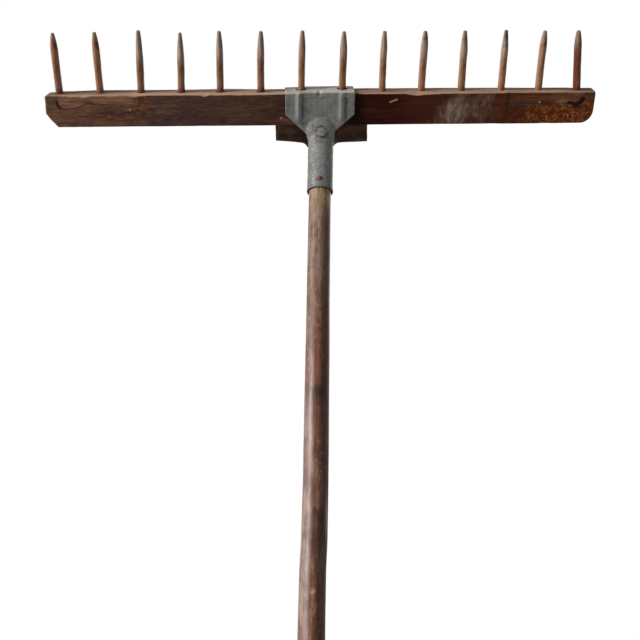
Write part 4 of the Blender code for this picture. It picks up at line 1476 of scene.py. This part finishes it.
def make_fastener(name, field, reach, place, step, material, slot, node):
    """reach is (radius, lowest Z, highest Z) of the box that holds it."""
    wide, bottom, top = reach
    shape = skin(field, (-wide, -wide, bottom), (wide, wide, top), step)
    make_piece(name, shape, place, material, slot, node)


def across_socket(y, above_rim, x=0.0):
    return Matrix.Translation((x, y, RIM_Z + above_rim))


def make_socket_fasteners():
    seat = BOLT_SEAT_Y - GAP
    bolt_at = across_socket(seat, BOLT_ABOVE_RIM) @ FRONT_FACING
    reach = (9.5, seat - BOLT_END_Y - 1.0, 6.0)
    make_fastener("domed_neck_bolt", bolt_field, reach, bolt_at, 0.4, BOLT_FINISH, "steel", "neck_bolt")
    washer_at = across_socket(TUBE_RADIUS + GAP, BOLT_ABOVE_RIM) @ BACK_FACING
    reach = (10.5, -1.0, 3.0)
    make_fastener(
        "round_neck_washer", washer_field, reach, washer_at, 0.4, BOLT_FINISH, "steel", "neck_washer"
    )
    nut_at = across_socket(TUBE_RADIUS + 2 * GAP + WASHER_THICKNESS, BOLT_ABOVE_RIM) @ BACK_FACING
    reach = (8.5, -1.0, 7.5)
    make_fastener("hexagon_neck_nut", nut_field, reach, nut_at, 0.4, BOLT_FINISH, "steel", "neck_nut")
    outside = TUBE_RADIUS + GAP
    pin_at = across_socket(-outside, PIN_ABOVE_RIM, PIN_X) @ FRONT_FACING
    reach = (4.5, -2 * outside - 3.0, 3.0)
    make_fastener("rusty_socket_pin", pin_field, reach, pin_at, 0.32, PIN_FINISH, "rusty_steel", "socket_pin")


def make_nails():
    cleat_back = BAR_DEPTH + GAP + CLEAT_DEPTH
    lip_back = BAR_DEPTH + GAP + SHEET
    groups = (
        ("cleat_nail", CLEAT_NAILS, CLEAT_NAIL_Z, cleat_back, CLEAT_DEPTH + NAIL_BITE),
        ("bracket_nail", LIP_NAILS, LIP_NAIL_Z, lip_back, SHEET + NAIL_BITE),
    )
    for kind, places, z, back, length in groups:
        for side, x in zip(("left", "right"), places):
            place = HEAD_MM @ Matrix.Translation((x, back, z)) @ BACK_FACING
            reach = (4.2, -length - 1.0, 2.6)
            name = f"driven_{kind}_{side}"
            node = f"{kind}_{side}"
            make_fastener(name, nail_field(length), reach, place, 0.3, NAIL_FINISH, "nail_steel", node)


# ---- Floor, lights and camera, in metres ----

FLOOR_HALF = 4.0
KEY_DIRECTION = Vector((-0.87, -0.46, 0.20))
KEY_DISTANCE = 5.0
KEY_SIZE = 1.5
KEY_POWER = 264.0
BACK_DIRECTION = Vector((0.5, 0.8, 0.55))
BACK_DISTANCE = 4.0
BACK_SIZE = 1.8
BACK_POWER = 60.0
AMBIENT = 0.36
CAMERA_AT = (-0.0350, -1.0370, 0.8848)
CAMERA_TURN = math.radians(-2.088)
CAMERA_RISE = math.radians(18.35)
CAMERA_ROLL = math.radians(0.96)
LENS_MM = 50.73
SENSOR_MM = 36.0


def make_floor():
    f = Finish("pale_studio_floor", roughness=0.8, specular=0.2)
    f.colour = f.ramp(f.noise(0, (60.0, 60.0, 60.0), 4.0), (0.3, 226, 226, 225), (0.7, 234, 234, 233))
    mesh = bpy.data.meshes.new("studio_floor")
    corners = [(x, y, 0.0) for x, y in ((-1, -1), (1, -1), (1, 1), (-1, 1))]
    mesh.from_pydata(corners, [], [(0, 1, 2, 3)])
    mesh.transform(Matrix.Scale(FLOOR_HALF, 4))
    mesh.materials.append(f.finish())
    floor = bpy.data.objects.new("studio_floor", mesh)
    # The studio's even light, not light thrown up by the floor, reaches the rake from below.
    floor.visible_diffuse = False
    floor.visible_glossy = False
    bpy.context.scene.collection.objects.link(floor)


def area_light(name, direction, distance, size, power, target):
    """A round soft light that shines on a target from some direction."""
    lamp = bpy.data.lights.new(name, "AREA")
    lamp.shape = "DISK"
    lamp.size = size
    lamp.energy = power
    made = bpy.data.objects.new(name, lamp)
    made.location = target + direction.normalized() * distance
    made.rotation_euler = direction.to_track_quat("Z", "Y").to_euler()
    bpy.context.scene.collection.objects.link(made)
    made.visible_camera = False


def make_world():
    """White to the camera, and an even grey light on the object."""
    world = bpy.data.worlds.new("white_studio")
    bpy.context.scene.world = world
    world.use_nodes = True
    tree = world.node_tree
    tree.nodes.clear()
    path = tree.nodes.new("ShaderNodeLightPath")
    seen = tree.nodes.new("ShaderNodeBackground")
    seen.inputs["Color"].default_value = (1.0, 1.0, 1.0, 1.0)
    lit = tree.nodes.new("ShaderNodeBackground")
    lit.inputs["Color"].default_value = (1.0, 0.99, 0.98, 1.0)
    lit.inputs["Strength"].default_value = AMBIENT
    mixed = tree.nodes.new("ShaderNodeMixShader")
    out = tree.nodes.new("ShaderNodeOutputWorld")
    tree.links.new(path.outputs["Is Camera Ray"], mixed.inputs[0])
    tree.links.new(lit.outputs[0], mixed.inputs[1])
    tree.links.new(seen.outputs[0], mixed.inputs[2])
    tree.links.new(mixed.outputs[0], out.inputs[0])


def make_lights():
    head = HEAD_AT * METRES
    target = Vector((head.x, head.y, head.z - 0.25))
    area_light("key", KEY_DIRECTION, KEY_DISTANCE, KEY_SIZE, KEY_POWER, target)
    area_light("back", BACK_DIRECTION, BACK_DISTANCE, BACK_SIZE, BACK_POWER, target)


def make_camera():
    """Stands a metre in front of the handle at waist height, and looks up at the head."""
    data = bpy.data.cameras.new("camera")
    data.sensor_width = SENSOR_MM
    data.lens = LENS_MM
    data.clip_start = 0.01
    camera = bpy.data.objects.new("camera", data)
    aim = Matrix.Rotation(CAMERA_TURN, 4, "Z")
    look_up = Matrix.Rotation(math.pi / 2 + CAMERA_RISE, 4, "X")
    roll = Matrix.Rotation(CAMERA_ROLL, 4, "Z")
    camera.matrix_world = Matrix.Translation(CAMERA_AT) @ aim @ look_up @ roll
    bpy.context.scene.collection.objects.link(camera)
    bpy.context.scene.camera = camera
    bpy.context.scene.view_settings.view_transform = "Standard"


def main():
    make_camera()
    make_world()
    make_lights()
    make_floor()
    make_handle()
    make_bar()
    make_teeth()
    make_bracket()
    make_cleat()
    make_socket_fasteners()
    make_nails()


main()
